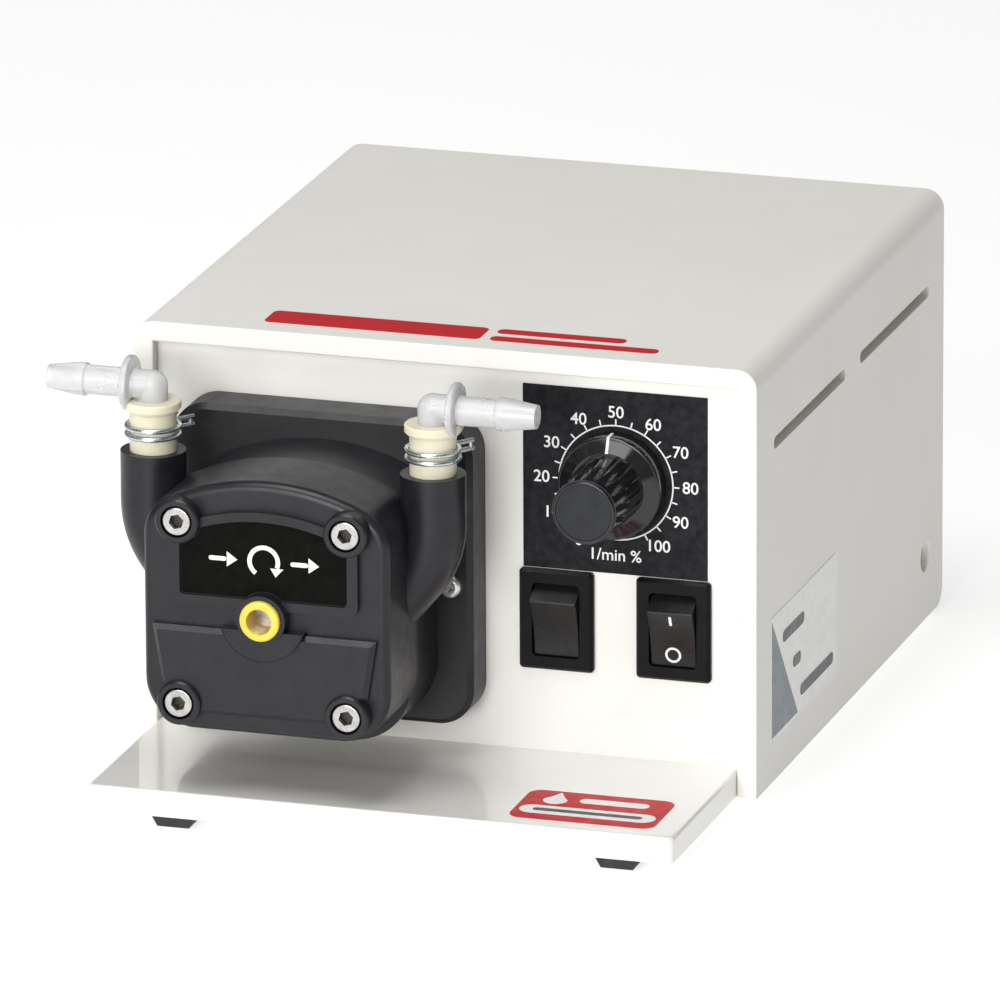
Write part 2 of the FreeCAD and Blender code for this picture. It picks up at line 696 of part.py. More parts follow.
ELBOW_LEG = 12.0
ELBOW_BORE_R = 2.4
BARB_R = 4.9
BARB_START = 19.6
BARB_STEP = 0.5
BARB_LAND = 2.0
BARB_TIP_R = 3.5
STEM_R = 4.35
DISC_R = 8.2
DISC_SPAN = (5.8, 8.0)


def elbow(side):
    """Barbed elbow: one leg in the tube, the other level and pointing away to the side."""
    x, z = on_axis(side * PORT_X, TUBE_TOP_Z)
    level = z + ELBOW_RISE
    out = vec(side, 0, 0)

    def along(distance):
        return vec(x + side * distance, TUBE_Y, level)

    def level_rod(r, start, end):
        return Part.makeCylinder(r, end - start, along(start), out)

    leg = rod_z(x, TUBE_Y, TUBE_BORE_R, z - ELBOW_LEG, level)
    corner = Part.makeSphere(TUBE_BORE_R, along(0))
    disc = level_rod(DISC_R, *DISC_SPAN)
    rims = [edge for edge in disc.Edges if edge.Curve.TypeId == "Part::GeomCircle"]
    disc = disc.makeFillet(0.8, rims)
    disc = disc.cut(rod_z(x, TUBE_Y, COLLAR_R + 0.1, z - 20, z))
    web_points = [along(0) - vec(0, 0.9, ELBOW_RISE),
                  along(DISC_SPAN[0] + 0.5) - vec(0, 0.9, ELBOW_RISE),
                  along(DISC_SPAN[0] + 0.5) - vec(0, 0.9, 0), along(0) - vec(0, 0.9, 0)]
    web = Part.Face(Part.makePolygon(web_points + web_points[:1])).extrude(vec(0, 1.8, 0))
    stem = level_rod(STEM_R, 0, BARB_START + BARB_STEP)
    slope = Part.makeCone(STEM_R, BARB_R, BARB_STEP, along(BARB_START), out)
    land_start = BARB_START + BARB_STEP
    land = level_rod(BARB_R, land_start, land_start + BARB_LAND)
    nose_start = land_start + BARB_LAND
    nose = Part.makeCone(BARB_R, BARB_TIP_R, ELBOW_REACH - nose_start, along(nose_start), out)
    solid = fuse([leg, corner, disc, web, stem, slope, land, nose])
    bores = fuse([rod_z(x, TUBE_Y, ELBOW_BORE_R, z - ELBOW_LEG - 1, level),
                  Part.makeSphere(ELBOW_BORE_R, along(0)),
                  level_rod(ELBOW_BORE_R, 0, ELBOW_REACH + 1)])
    return solid.cut(bores)


# ---- rotor --------------------------------------------------------------------------
def roller_angles():
    return [360.0 * i / ROLLERS - 90 for i in range(ROLLERS)]


def roller_place(angle):
    a = math.radians(angle)
    return on_axis(ROLLER_PITCH_R * math.cos(a), ROLLER_PITCH_R * math.sin(a))


CARRIER_BACK_Y = TUBE_Y + ROLLER_L / 2 + 0.5
CARRIER_FRONT_Y = TUBE_Y - ROLLER_L / 2 - 0.5


def carrier(y0):
    """Round plate that holds one end of each roller pin, cut away between the rollers."""
    disc = rod_y(AXIS_X, AXIS_Z, CARRIER_R, y0, y0 + CARRIER_T)
    cuts = [rod_y(AXIS_X, AXIS_Z, SHAFT_R, y0 - 1, y0 + CARRIER_T + 1)]
    for angle in roller_angles():
        x, z = roller_place(angle)
        cuts.append(rod_y(x, z, PIN_R, y0 - 1, y0 + CARRIER_T + 1))
        a = math.radians(angle + 45)
        x, z = on_axis(27 * math.cos(a), 27 * math.sin(a))
        cuts.append(rod_y(x, z, 9, y0 - 1, y0 + CARRIER_T + 1))
    return disc.cut(cuts)


def roller_pins():
    pins = []
    for angle in roller_angles():
        x, z = roller_place(angle)
        pins.append(rod_y(x, z, PIN_R, CARRIER_FRONT_Y - CARRIER_T, CARRIER_BACK_Y + CARRIER_T))
    return pins


def roller(angle):
    x, z = roller_place(angle)
    body = rod_y(x, z, ROLLER_R, TUBE_Y - ROLLER_L / 2, TUBE_Y + ROLLER_L / 2)
    ends = edges_at_y(body, TUBE_Y - ROLLER_L / 2) + edges_at_y(body, TUBE_Y + ROLLER_L / 2)
    body = body.makeFillet(0.8, ends)
    return body.cut(rod_y(x, z, PIN_R + RUN, TUBE_Y - ROLLER_L, TUBE_Y + ROLLER_L))


WHEEL_OUT_Y = (12.0, 18.0)
SHAFT_END_Y = 19.0
TIP_START_Y = -56.5
TIP_END_Y = -61.0


def rotor_shaft():
    main = rod_y(AXIS_X, AXIS_Z, SHAFT_R, TIP_START_Y, SHAFT_END_Y)
    tip = rod_y(AXIS_X, AXIS_Z, TIP_R, TIP_END_Y, TIP_START_Y + 1)
    x, z = on_axis(-5, 2.6)
    flat = box(x, x + 10, TIP_END_Y - 1, TIP_START_Y, z, z + 5)
    shaft = fuse([main, tip]).cut(flat)
    return shaft


# ---- gear train ---------------------------------------------------------------------
def tooth_side(pitch_r, teeth, outer_r, root_r, side, centre):
    """Points up one flank of a tooth, from root to tip, as angle and radius pairs."""
    pressure = math.radians(PRESSURE_DEG)
    base_r = pitch_r * math.cos(pressure)
    pitch_inv = math.tan(pressure) - pressure
    half = math.pi / (2 * teeth) - BACKLASH / 2 / pitch_r
    flank = []
    steps = 4
    start_r = max(base_r, root_r)
    for i in range(steps + 1):
        r = start_r + (outer_r - start_r) * i / steps
        roll = math.acos(min(1.0, base_r / r))
        angle = half + pitch_inv - (math.tan(roll) - roll)
        flank.append((centre + side * angle, r))
    if root_r < base_r:
        flank.insert(0, (flank[0][0], root_r))
    return flank


def gear(teeth, centre_x, centre_z, y0, y1, phase_deg, bore_r):
    """Involute spur gear with one tooth centred on phase_deg."""
    pitch_r = GEAR_MODULE * teeth / 2
    outer_r = pitch_r + 0.95 * GEAR_MODULE
    root_r = pitch_r - 1.25 * GEAR_MODULE
    points = []
    for i in range(teeth):
        centre = math.radians(phase_deg) + 2 * math.pi * i / teeth
        rising = tooth_side(pitch_r, teeth, outer_r, root_r, -1, centre)
        falling = tooth_side(pitch_r, teeth, outer_r, root_r, 1, centre)
        for angle, r in rising + falling[::-1]:
            points.append((centre_x + r * math.cos(angle), centre_z + r * math.sin(angle)))
    wheel = polygon_slab(points, y0, y1)
    if bore_r:
        wheel = wheel.cut(rod_y(centre_x, centre_z, bore_r, y0 - 1, y1 + 1))
    return wheel


# The idler sits straight below the pump axis. Each wheel has a tooth on the line of
# centres and each pinion a gap, so both stages are in mesh at rest.
IDLER_X = AXIS_X
IDLER_Z = AXIS_Z - CENTRES
WHEEL_IN_Y = (21.0, 25.5)
PINION_IN_Y = (20.6, 26.0)
PINION_OUT_Y = (11.6, 18.4)
IDLER_SHAFT_R = 2.0
IDLER_SHAFT_Y = (7.0, 29.5)
HALF_TOOTH_DEG = 180.0 / PINION_TEETH


def gear_web(wheel, cx, cz, y0, y1):
    """Lightening holes through a wheel's web."""
    holes = []
    for i in range(5):
        a = 2 * math.pi * i / 5
        holes.append(rod_y(cx + 11.5 * math.cos(a), cz + 11.5 * math.sin(a), 3.2, y0 - 1, y1 + 1))
    return wheel.cut(holes)


def output_wheel():
    y0, y1 = WHEEL_OUT_Y
    wheel = gear(WHEEL_TEETH, AXIS_X, AXIS_Z, y0, y1, -90, SHAFT_R)
    return gear_web(wheel, AXIS_X, AXIS_Z, y0, y1)


def idler_shaft():
    y0, y1 = PINION_OUT_Y
    pinion = gear(PINION_TEETH, IDLER_X, IDLER_Z, y0, y1, 90 + HALF_TOOTH_DEG, 0)
    return fuse([pinion, rod_y(IDLER_X, IDLER_Z, IDLER_SHAFT_R, *IDLER_SHAFT_Y)])


def idler_wheel():
    y0, y1 = WHEEL_IN_Y
    wheel = gear(WHEEL_TEETH, IDLER_X, IDLER_Z, y0, y1, 90, IDLER_SHAFT_R)
    return gear_web(wheel, IDLER_X, IDLER_Z, y0, y1)


def motor_pinion():
    y0, y1 = PINION_IN_Y
    return gear(PINION_TEETH, AXIS_X, AXIS_Z, y0, y1, -90 + HALF_TOOTH_DEG, MOTOR_SHAFT_R)


CASE_WALL = 2.5
CASE_HALF_W = 24.2
CASE_FRONT_Y = 10.0
CASE_BACK_Y = 30.0
CASE_TOP = 24.2
CASE_BOTTOM = -48.2


def case_block(inset, y0, y1):
    height = CASE_TOP - CASE_BOTTOM - 2 * inset
    middle = (CASE_TOP + CASE_BOTTOM) / 2
    x, z = on_axis(0, middle)
    return rounded_slab(x, z, 2 * (CASE_HALF_W - inset), height, 12 - inset, y0, y1)


def gearbox_case():
    block = case_block(0, CASE_FRONT_Y, CASE_BACK_Y)
    cuts = [case_block(CASE_WALL, CASE_FRONT_Y - 1, CASE_BACK_Y - CASE_WALL)]
    cuts.append(rod_y(AXIS_X, AXIS_Z, 5.0, CASE_BACK_Y - 4, CASE_BACK_Y + 1))
    cuts.append(rod_y(IDLER_X, IDLER_Z, 4.0, CASE_BACK_Y - 4, CASE_BACK_Y + 1))
    return block.cut(cuts)


def gearbox_cover():
    y0 = PANEL_Y + PANEL_T
    block = case_block(0, y0, CASE_FRONT_Y)
    cuts = [rod_y(AXIS_X, AXIS_Z, 6.0, y0 - 1, CASE_FRONT_Y + 1)]
    cuts.append(rod_y(IDLER_X, IDLER_Z, 4.0, y0 + 0.5, CASE_FRONT_Y + 1))
    return block.cut(cuts)


def bush(x, z, outer_r, bore_r, y0, y1):
    return rod_y(x, z, outer_r, y0, y1).cut(rod_y(x, z, bore_r, y0 - 1, y1 + 1))


def gear_bushes():
    y0 = PANEL_Y + PANEL_T
    return [
        bush(AXIS_X, AXIS_Z, 6.0, SHAFT_R + RUN, y0, CASE_FRONT_Y + 1),
        bush(IDLER_X, IDLER_Z, 4.0, IDLER_SHAFT_R + RUN, y0 + 0.5, CASE_FRONT_Y + 1),
        bush(IDLER_X, IDLER_Z, 4.0, IDLER_SHAFT_R + RUN, CASE_BACK_Y - CASE_WALL - 1, CASE_BACK_Y),
        bush(AXIS_X, AXIS_Z, 4.0, MOTOR_SHAFT_R + RUN, MOTOR_Y[0], MOTOR_Y[0] + 3),
        bush(AXIS_X, AXIS_Z, 4.0, MOTOR_SHAFT_R + RUN, MOTOR_Y[1] - 3, MOTOR_Y[1]),
    ]


MOTOR_R = 21.0
MOTOR_Y = (30.0, 94.0)
MOTOR_CAP_Y = 87.0
MOTOR_SHAFT_R = 2.0


def motor_can():
    can = rod_y(AXIS_X, AXIS_Z, MOTOR_R, MOTOR_Y[0], MOTOR_CAP_Y)
    can = can.makeFillet(2.0, edges_at_y(can, MOTOR_Y[0]))
    can = can.cut(rod_y(AXIS_X, AXIS_Z, MOTOR_R - 1.5, MOTOR_Y[0] + 3, MOTOR_CAP_Y + 1))
    return can.cut(rod_y(AXIS_X, AXIS_Z, 4.0, MOTOR_Y[0] - 1, MOTOR_Y[0] + 4))


def motor_end_cap():
    cap = rod_y(AXIS_X, AXIS_Z, MOTOR_R, MOTOR_CAP_Y, MOTOR_Y[1])
    cap = cap.makeFillet(1.5, edges_at_y(cap, MOTOR_Y[1]))
    cap = cap.cut(rod_y(AXIS_X, AXIS_Z, MOTOR_R - 3, MOTOR_CAP_Y - 1, MOTOR_Y[1] - 3))
    return cap.cut(rod_y(AXIS_X, AXIS_Z, 4.0, MOTOR_CAP_Y, MOTOR_Y[1] + 1))


def armature_shaft():
    return rod_y(AXIS_X, AXIS_Z, MOTOR_SHAFT_R, 20.0, MOTOR_Y[1] - 0.5)


def armature():
    """Laminated core with five winding slots, and the commutator behind it."""
    core = rod_y(AXIS_X, AXIS_Z, 15.0, 40.0, 74.0)
    cuts = []
    for i in range(5):
        a = 2 * math.pi * i / 5
        x, z = on_axis(12 * math.cos(a), 12 * math.sin(a))
        cuts.append(rod_y(x, z, 2.6, 39.0, 75.0))
    core = core.cut(cuts)
    commutator = rod_y(AXIS_X, AXIS_Z, 5.0, 73.0, 83.0)
    bore = rod_y(AXIS_X, AXIS_Z, MOTOR_SHAFT_R, 39.0, 84.0)
    return fuse([core, commutator]).cut(bore)


# ---- speed dial ---------------------------------------------------------------------
SKIRT_R = 15.6
GRIP_BACK_R = 10.5
GRIP_FRONT_R = 9.7
KNOB_BACK_Y = 2.7
SKIRT_FACE_Y = -3.0
GRIP_START_Y = -4.6
GRIP_END_Y = -27.0
KNOB_FRONT_Y = -27.8
RIM_R = 9.25
CAP_R = 8.5
FLUTES = 18


def dial_label():
    sheet = box(23.1, 79.1, PANEL_Y - DIAL_LABEL_T, PANEL_Y, 67.0, 122.6)
    hole = rod_y(KNOB_X, KNOB_Z, 4.6, 0, PANEL_Y + 1)
    cuts = [hole]
    for x in SWITCH_XS.values():
        cuts.append(box(x - BEZEL_W / 2 - 0.2, x + BEZEL_W / 2 + 0.2, 0, PANEL_Y + 1,
                        SWITCH_Z - BEZEL_H / 2, SWITCH_Z + BEZEL_H / 2 + 0.2))
    return sheet.cut(cuts)


def knob():
    skirt = rod_y(KNOB_X, KNOB_Z, SKIRT_R, SKIRT_FACE_Y, KNOB_BACK_Y)
    skirt = skirt.makeFillet(0.6, edges_at_y(skirt, SKIRT_FACE_Y))
    rise = cone_y(KNOB_X, KNOB_Z, 11.2, SKIRT_R - 0.8, GRIP_START_Y, SKIRT_FACE_Y)
    grip = cone_y(KNOB_X, KNOB_Z, GRIP_FRONT_R, GRIP_BACK_R, GRIP_END_Y, GRIP_START_Y)
    flutes = []
    for i in range(FLUTES):
        a = 2 * math.pi * (i + 0.5) / FLUTES
        r = GRIP_BACK_R + 0.55
        flutes.append(rod_y(KNOB_X + r * math.cos(a), KNOB_Z + r * math.sin(a), 1.15,
                            GRIP_END_Y - 1, GRIP_START_Y - 0.4))
    grip = grip.cut(flutes)
    rim = rod_y(KNOB_X, KNOB_Z, RIM_R, KNOB_FRONT_Y, GRIP_END_Y + 1)
    rim = rim.makeFillet(0.35, edges_at_y(rim, KNOB_FRONT_Y))
    whole = fuse([skirt, rise, grip, rim])
    pocket = rod_y(KNOB_X, KNOB_Z, CAP_R, KNOB_FRONT_Y - 1, GRIP_END_Y + 1.5)
    bore = rod_y(KNOB_X, KNOB_Z, DIAL_SHAFT_R, -16, KNOB_BACK_Y + 1)
    recess = rod_y(KNOB_X, KNOB_Z, 8.0, -0.5, KNOB_BACK_Y + 1)
    return whole.cut([pocket, bore, recess])


def knob_cap():
    cap = rod_y(KNOB_X, KNOB_Z, CAP_R, KNOB_FRONT_Y + 0.1, GRIP_END_Y + 1.5)
    return cap.makeFillet(0.3, edges_at_y(cap, KNOB_FRONT_Y + 0.1))


DIAL_SHAFT_R = 3.0
POT_BUSH_R = 4.5
POT_BACK_Y = 20.0


def dial_shaft():
    return rod_y(KNOB_X, KNOB_Z, DIAL_SHAFT_R, -16, 9)


def potentiometer():
    """Round can with a threaded neck through the panel, held by a nut in front."""
    can = rod_y(KNOB_X, KNOB_Z, 12.0, PANEL_Y + PANEL_T, POT_BACK_Y)
    can = can.makeFillet(0.8, edges_at_y(can, POT_BACK_Y))
    neck = rod_y(KNOB_X, KNOB_Z, POT_BUSH_R, 0.4, PANEL_Y + PANEL_T + 1)
    nut = hex_socket(KNOB_X, KNOB_Z, 10.0, 1.4, PANEL_Y - DIAL_LABEL_T)
    tags = []
    for dx in (-5, 0, 5):
        x, z = KNOB_X + dx, KNOB_Z - 12
        tags.append(box(x - 1, x + 1, 12, 12.6, z - 5, z + 1))
    whole = fuse([can, neck, nut] + tags)
    return whole.cut(rod_y(KNOB_X, KNOB_Z, DIAL_SHAFT_R + RUN, 0, 10))


# ---- switches -----------------------------------------------------------------------
ROCKER_W = 13.8
OPEN_W = 14.5
OPEN_H = 22.4
OPEN_R = 1.5
MOUTH_END_Y = 2.4            # the opening has round corners down to here
PIVOT_Y = 9.0
PIVOT_PIN_R = 1.5
BEZEL_FACE_Y = 1.8
ROCKER_REACH = 11.0          # how far a tilted rocker reaches above and below its pivot
ROCKER_TIP_Y = 8.7           # its tips stand this far in front of the pivot before tilting
ROCKER_BACK_Y = 3.0
FACE_HOLLOW_R = 43.0


def rocker_half_height(depth):
    """Half the rocker's height at a distance from the pivot, so that it clears its opening."""
    tilt = math.radians(ROCKER_TILT)
    return (ROCKER_REACH - abs(depth) * math.sin(tilt)) / math.cos(tilt)


def rocker(x):
    """Rocker with one hollow face; its ends lean so that they clear the opening as it tilts."""
    x0, x1 = x - ROCKER_W / 2, x + ROCKER_W / 2
    lean_start = ROCKER_REACH * math.tan(math.radians(ROCKER_TILT / 2))
    depths = (-ROCKER_TIP_Y, -lean_start, lean_start, ROCKER_BACK_Y)
    profile = []
    for side, order in ((1, depths), (-1, reversed(depths))):
        for depth in order:
            z = SWITCH_Z + side * rocker_half_height(depth)
            profile.append(vec(x0, PIVOT_Y + depth, z))
    block = Part.Face(Part.makePolygon(profile + profile[:1])).extrude(vec(x1 - x0, 0, 0))
    block = round_edges(block, 0.5, X_AXIS)
    tip_half = rocker_half_height(ROCKER_TIP_Y)
    hollow_y = PIVOT_Y - ROCKER_TIP_Y - math.sqrt(FACE_HOLLOW_R ** 2 - tip_half ** 2)
    block = block.cut(rod_x(hollow_y, SWITCH_Z, FACE_HOLLOW_R, x0 - 1, x1 + 1))
    rims = []
    for edge in block.Edges:
        extent = edge.BoundBox
        if edge.Curve.TypeId == "Part::GeomCircle" and extent.ZLength > ROCKER_TIP_Y:
            rims.append(edge)
    block = block.makeFillet(0.4, rims)
    pins = rod_x(PIVOT_Y, SWITCH_Z, PIVOT_PIN_R, x0 - 1.5, x1 + 1.5)
    whole = fuse([block, pins])
    whole.rotate(vec(x, PIVOT_Y, SWITCH_Z), X_AXIS, ROCKER_TILT)
    return whole


def switch_body(x):
    bezel = rounded_slab(x, SWITCH_Z, BEZEL_W, BEZEL_H, 1.2, BEZEL_FACE_Y, PANEL_Y)
    bezel = bezel.makeChamfer(0.9, edges_at_y(bezel, BEZEL_FACE_Y))
    back = box(x - 9.5, x + 9.5, PANEL_Y - 0.5, 27, SWITCH_Z - 13.5, SWITCH_Z + 13.5)
    mouth = rounded_slab(x, SWITCH_Z, OPEN_W, OPEN_H, OPEN_R, 0, MOUTH_END_Y)
    well = box(x - OPEN_W / 2, x + OPEN_W / 2, MOUTH_END_Y, 22,
               SWITCH_Z - OPEN_H / 2, SWITCH_Z + OPEN_H / 2)
    pivots = rod_x(PIVOT_Y, SWITCH_Z, PIVOT_PIN_R + RUN, x - 8.95, x + 8.95)
    return fuse([bezel, back]).cut([mouth, well, pivots])


def switch_terminals():
    blades = []
    for x in SWITCH_XS.values():
        for dx in (-5, 5):
            for dz in (-7, 7):
                z = SWITCH_Z + dz
                blades.append(box(x + dx - 0.4, x + dx + 0.4, 27, 36, z - 3.1, z + 3.1))
    return blades


# ---- rear inlet, board and transformer ----------------------------------------------
INLET_FACE_Y = REAR_PANEL_Y + PANEL_T + 2.5
INLET_DEPTH = 16.0
DRAWER_Z = INLET_Z + 15.0
SOCKET_Z = INLET_Z - 5.0
DRAWER_GAP = 0.15
DRAWER_H = 9.0
DRAWER_W = 21.0


def power_inlet():
    flange = rounded_slab(INLET_X, INLET_Z, INLET_W, INLET_H, 2.0, REAR_PANEL_Y + PANEL_T, INLET_FACE_Y)
    body = box(INLET_X - 12, INLET_X + 12, REAR_PANEL_Y - 22, REAR_PANEL_Y + PANEL_T + 0.5,
               INLET_Z - 21, INLET_Z + 21)
    well = rounded_slab(INLET_X, SOCKET_Z, 23.2, 16.4, 2.5, INLET_FACE_Y - INLET_DEPTH, INLET_FACE_Y + 1)
    well_d = box(INLET_X - DRAWER_W / 2 - DRAWER_GAP, INLET_X + DRAWER_W / 2 + DRAWER_GAP,
                 REAR_PANEL_Y - 18, INLET_FACE_Y + 1,
                 DRAWER_Z - DRAWER_H / 2 - DRAWER_GAP, DRAWER_Z + DRAWER_H / 2 + DRAWER_GAP)
    whole = fuse([flange, body]).cut([well, well_d])
    pins = []
    for dx, dz in ((-7, -2), (0, 2), (7, -2)):
        x, z = INLET_X + dx, SOCKET_Z + dz
        pins.append(box(x - 1, x + 1, INLET_FACE_Y - INLET_DEPTH - 1, INLET_FACE_Y - 5, z - 2, z + 2))
    return fuse([whole] + pins)


def fuse_drawer():
    """Small drawer that slides out of the inlet to the rear, with a finger lip."""
    x0, x1 = INLET_X - DRAWER_W / 2, INLET_X + DRAWER_W / 2
    z0, z1 = DRAWER_Z - DRAWER_H / 2, DRAWER_Z + DRAWER_H / 2
    front = INLET_FACE_Y - 0.4
    tray = box(x0, x1, REAR_PANEL_Y - 16, front, z0, z1)
    tray = tray.cut(box(x0 + 1.5, x1 - 1.5, REAR_PANEL_Y - 14.5, front - 2.5, z0 + 1.5, z1 + 1))
    notch = box(INLET_X - 4, INLET_X + 4, front - 1, front + 1, z0 - 1, z0 + 2)
    return tray.cut(notch)


BOARD_Z = BASE_TOP_Z + STANDOFF_H


def control_board():
    """Circuit board with its heatsink, capacitors and connectors."""
    board = box(3, 83, 25, 103, BOARD_Z, BOARD_Z + 1.6)
    top = BOARD_Z + 1.5
    parts = [board]
    for x, y, r, h in ((20, 44, 6, 16), (35, 44, 5, 13), (20, 62, 4, 11)):
        parts.append(rod_z(x, y, r, top, top + h))
    for i in range(6):
        parts.append(box(50 + 4 * i, 51.2 + 4 * i, 66, 94, top, top + 22))
    parts.append(box(50, 71.2, 66, 94, top, top + 2))
    parts.append(box(10, 34, 88, 97, top, top + 9))
    return fuse(parts)


def transformer():
    """Laminated core with the winding standing out on both sides."""
    x0, x1 = -20, 34
    core = box(x0, x1, 128, 162, BASE_TOP_Z, BASE_TOP_Z + 44)
    coil = box(x0 + 10, x1 - 10, 118, 172, BASE_TOP_Z + 8, BASE_TOP_Z + 36)
    return fuse([core, round_edges(coil, 4, Y_AXIS)])


# ---- all pieces ---------------------------------------------------------------------
def build_all():
    nodes = {
        "cover": cover(),
        "front_panel": front_panel(),
        "base_plate": base_plate(),
        "rear_panel": rear_panel(),
        "cover_screws": cover_screws(),
        "chassis_screws": chassis_screws(),
        "side_sticker": side_sticker(),
        "base_label": base_label(),
        "top_stripe": top_stripe(),
        "adapter_plate": adapter_plate(),
        "flange_gasket": flange_gasket(),
        "plate_screws": plate_screws(),
        "pump_rear_shell": pump_rear_shell(),
        "pump_front_shell": pump_front_shell(),
        "head_label": head_label(),
        "head_screws": head_screws(),
        "front_bush": front_bush(),
        "rear_bearing": rear_bearing(),
        "pump_tube": pump_tube(),
        "rotor_shaft": rotor_shaft(),
        "carrier_front": carrier(CARRIER_FRONT_Y - CARRIER_T),
        "carrier_rear": carrier(CARRIER_BACK_Y),
        "roller_pins": roller_pins(),
        "output_wheel": output_wheel(),
        "idler_shaft": idler_shaft(),
        "idler_wheel": idler_wheel(),
        "armature_shaft": armature_shaft(),
        "motor_pinion": motor_pinion(),
        "armature": armature(),
        "gearbox_case": gearbox_case(),
        "gearbox_cover": gearbox_cover(),
        "gear_bushes": gear_bushes(),
        "motor_can": motor_can(),
        "motor_end_cap": motor_end_cap(),
        "dial_label": dial_label(),
        "knob": knob(),
        "knob_cap": knob_cap(),
        "dial_shaft": dial_shaft(),
        "potentiometer": potentiometer(),
        "switch_terminals": switch_terminals(),
        "power_inlet": power_inlet(),
        "fuse_drawer": fuse_drawer(),
        "control_board": control_board(),
        "transformer": transformer(),
    }
    for number, (x, y) in enumerate(FOOT_XY, start=1):
        nodes["foot_%d" % number] = foot(x, y)
    for number, angle in enumerate(roller_angles(), start=1):
        nodes["roller_%d" % number] = roller(angle)
    for name, side in (("left", -1), ("right", 1)):
        nodes["hose_clip_" + name] = hose_clip(side)
        nodes["elbow_" + name] = elbow(side)
        nodes["rocker_" + name] = rocker(SWITCH_XS[name])
        nodes["switch_" + name] = switch_body(SWITCH_XS[name])
    return nodes


def export(name, shape):
    """Write one node, moved so that the origin is under the bounding box's middle."""
    solids = []
    for piece in shape if isinstance(shape, list) else [shape]:
        solids += piece.Solids
    whole = solids[0] if len(solids) == 1 else Part.makeCompound(solids)
    whole = whole.copy()
    whole.translate(vec(-ORIGIN_X, -ORIGIN_Y, 0))
    whole.exportStep("parts/%s.step" % name)
    box_now = whole.BoundBox
    print("%-18s solids %d valid %s  x %.1f %.1f  y %.1f %.1f  z %.1f %.1f" % (
        name, len(solids), whole.isValid(), box_now.XMin, box_now.XMax,
        box_now.YMin, box_now.YMax, box_now.ZMin, box_now.ZMax))


os.makedirs("parts", exist_ok=True)
for node_name, node_shape in build_all().items():
    export(node_name, node_shape)
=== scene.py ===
import json
import math

import bmesh
import bpy
from mathutils import Matrix, Vector


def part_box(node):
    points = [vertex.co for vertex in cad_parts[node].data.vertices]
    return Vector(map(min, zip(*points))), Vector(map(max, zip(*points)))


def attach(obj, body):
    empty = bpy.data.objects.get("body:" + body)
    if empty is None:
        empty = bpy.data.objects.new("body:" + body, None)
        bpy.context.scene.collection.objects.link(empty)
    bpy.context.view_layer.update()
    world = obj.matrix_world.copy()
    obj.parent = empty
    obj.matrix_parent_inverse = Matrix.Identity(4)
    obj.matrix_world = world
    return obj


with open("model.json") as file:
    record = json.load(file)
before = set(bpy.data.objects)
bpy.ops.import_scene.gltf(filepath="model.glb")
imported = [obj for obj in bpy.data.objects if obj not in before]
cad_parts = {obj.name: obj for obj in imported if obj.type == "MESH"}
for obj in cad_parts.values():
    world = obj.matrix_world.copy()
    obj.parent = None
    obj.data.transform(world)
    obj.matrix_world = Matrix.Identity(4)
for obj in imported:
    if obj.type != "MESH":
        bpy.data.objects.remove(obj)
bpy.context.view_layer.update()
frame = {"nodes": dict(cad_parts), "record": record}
NODES = frame["nodes"]
MM = 0.001


# ---- camera, floor and light --------------------------------------------------------
CAMERA_AT = Vector((1.20946, -3.87056, 1.30410))
CAMERA_AZIMUTH = math.radians(17.310)
CAMERA_ELEVATION = math.radians(16.978)
CAMERA_ROLL = math.radians(-0.258)
CAMERA_LENS_MM = 515.0


def make_camera():
    data = bpy.data.cameras.new("camera")
    data.lens = CAMERA_LENS_MM
    data.sensor_width = 36.0
    data.clip_end = 50.0
    data.dof.use_dof = False
    camera = bpy.data.objects.new("camera", data)
    bpy.context.scene.collection.objects.link(camera)
    tilt = Matrix.Rotation(CAMERA_AZIMUTH, 4, "Z")
    pitch = Matrix.Rotation(math.pi / 2 - CAMERA_ELEVATION, 4, "X")
    roll = Matrix.Rotation(CAMERA_ROLL, 4, "Z")
    camera.matrix_world = Matrix.Translation(CAMERA_AT) @ tilt @ pitch @ roll
    bpy.context.scene.camera = camera


# name, place, size and power in watts of each soft light
LIGHTS = (("key", (-0.40, -2.3, 0.95), (1.5, 1.2), 24.0),
          ("front_fill", (0.0, -2.5, 0.45), (0.8, 0.6), 20.0),
          ("top", (-0.15, -0.55, 1.75), (0.9, 1.1), 19.0))
LIGHT_AIM = Vector((0.0, -0.03, 0.06))
WORLD_STRENGTH = 0.20
FLOOR_HALF = 6.0
FLOOR_GLOW = 0.69                # keeps the paper nearly white without more light on the pump


def area_light(name, place, size, power):
    data = bpy.data.lights.new(name, "AREA")
    data.shape = "RECTANGLE"
    data.size, data.size_y = size
    data.energy = power
    light = bpy.data.objects.new(name, data)
    bpy.context.scene.collection.objects.link(light)
    light.location = place
    direction = LIGHT_AIM - Vector(place)
    light.rotation_euler = direction.to_track_quat("-Z", "Y").to_euler()


def make_studio():
    scene = bpy.context.scene
    scene.view_settings.view_transform = "Standard"
    scene.view_settings.look = "None"
    world = bpy.data.worlds.new("studio")
    world.use_nodes = True
    background = world.node_tree.nodes["Background"]
    background.inputs["Color"].default_value = (1.0, 1.0, 1.0, 1.0)
    background.inputs["Strength"].default_value = WORLD_STRENGTH
    scene.world = world
    for name, place, size, power in LIGHTS:
        area_light(name, place, size, power)


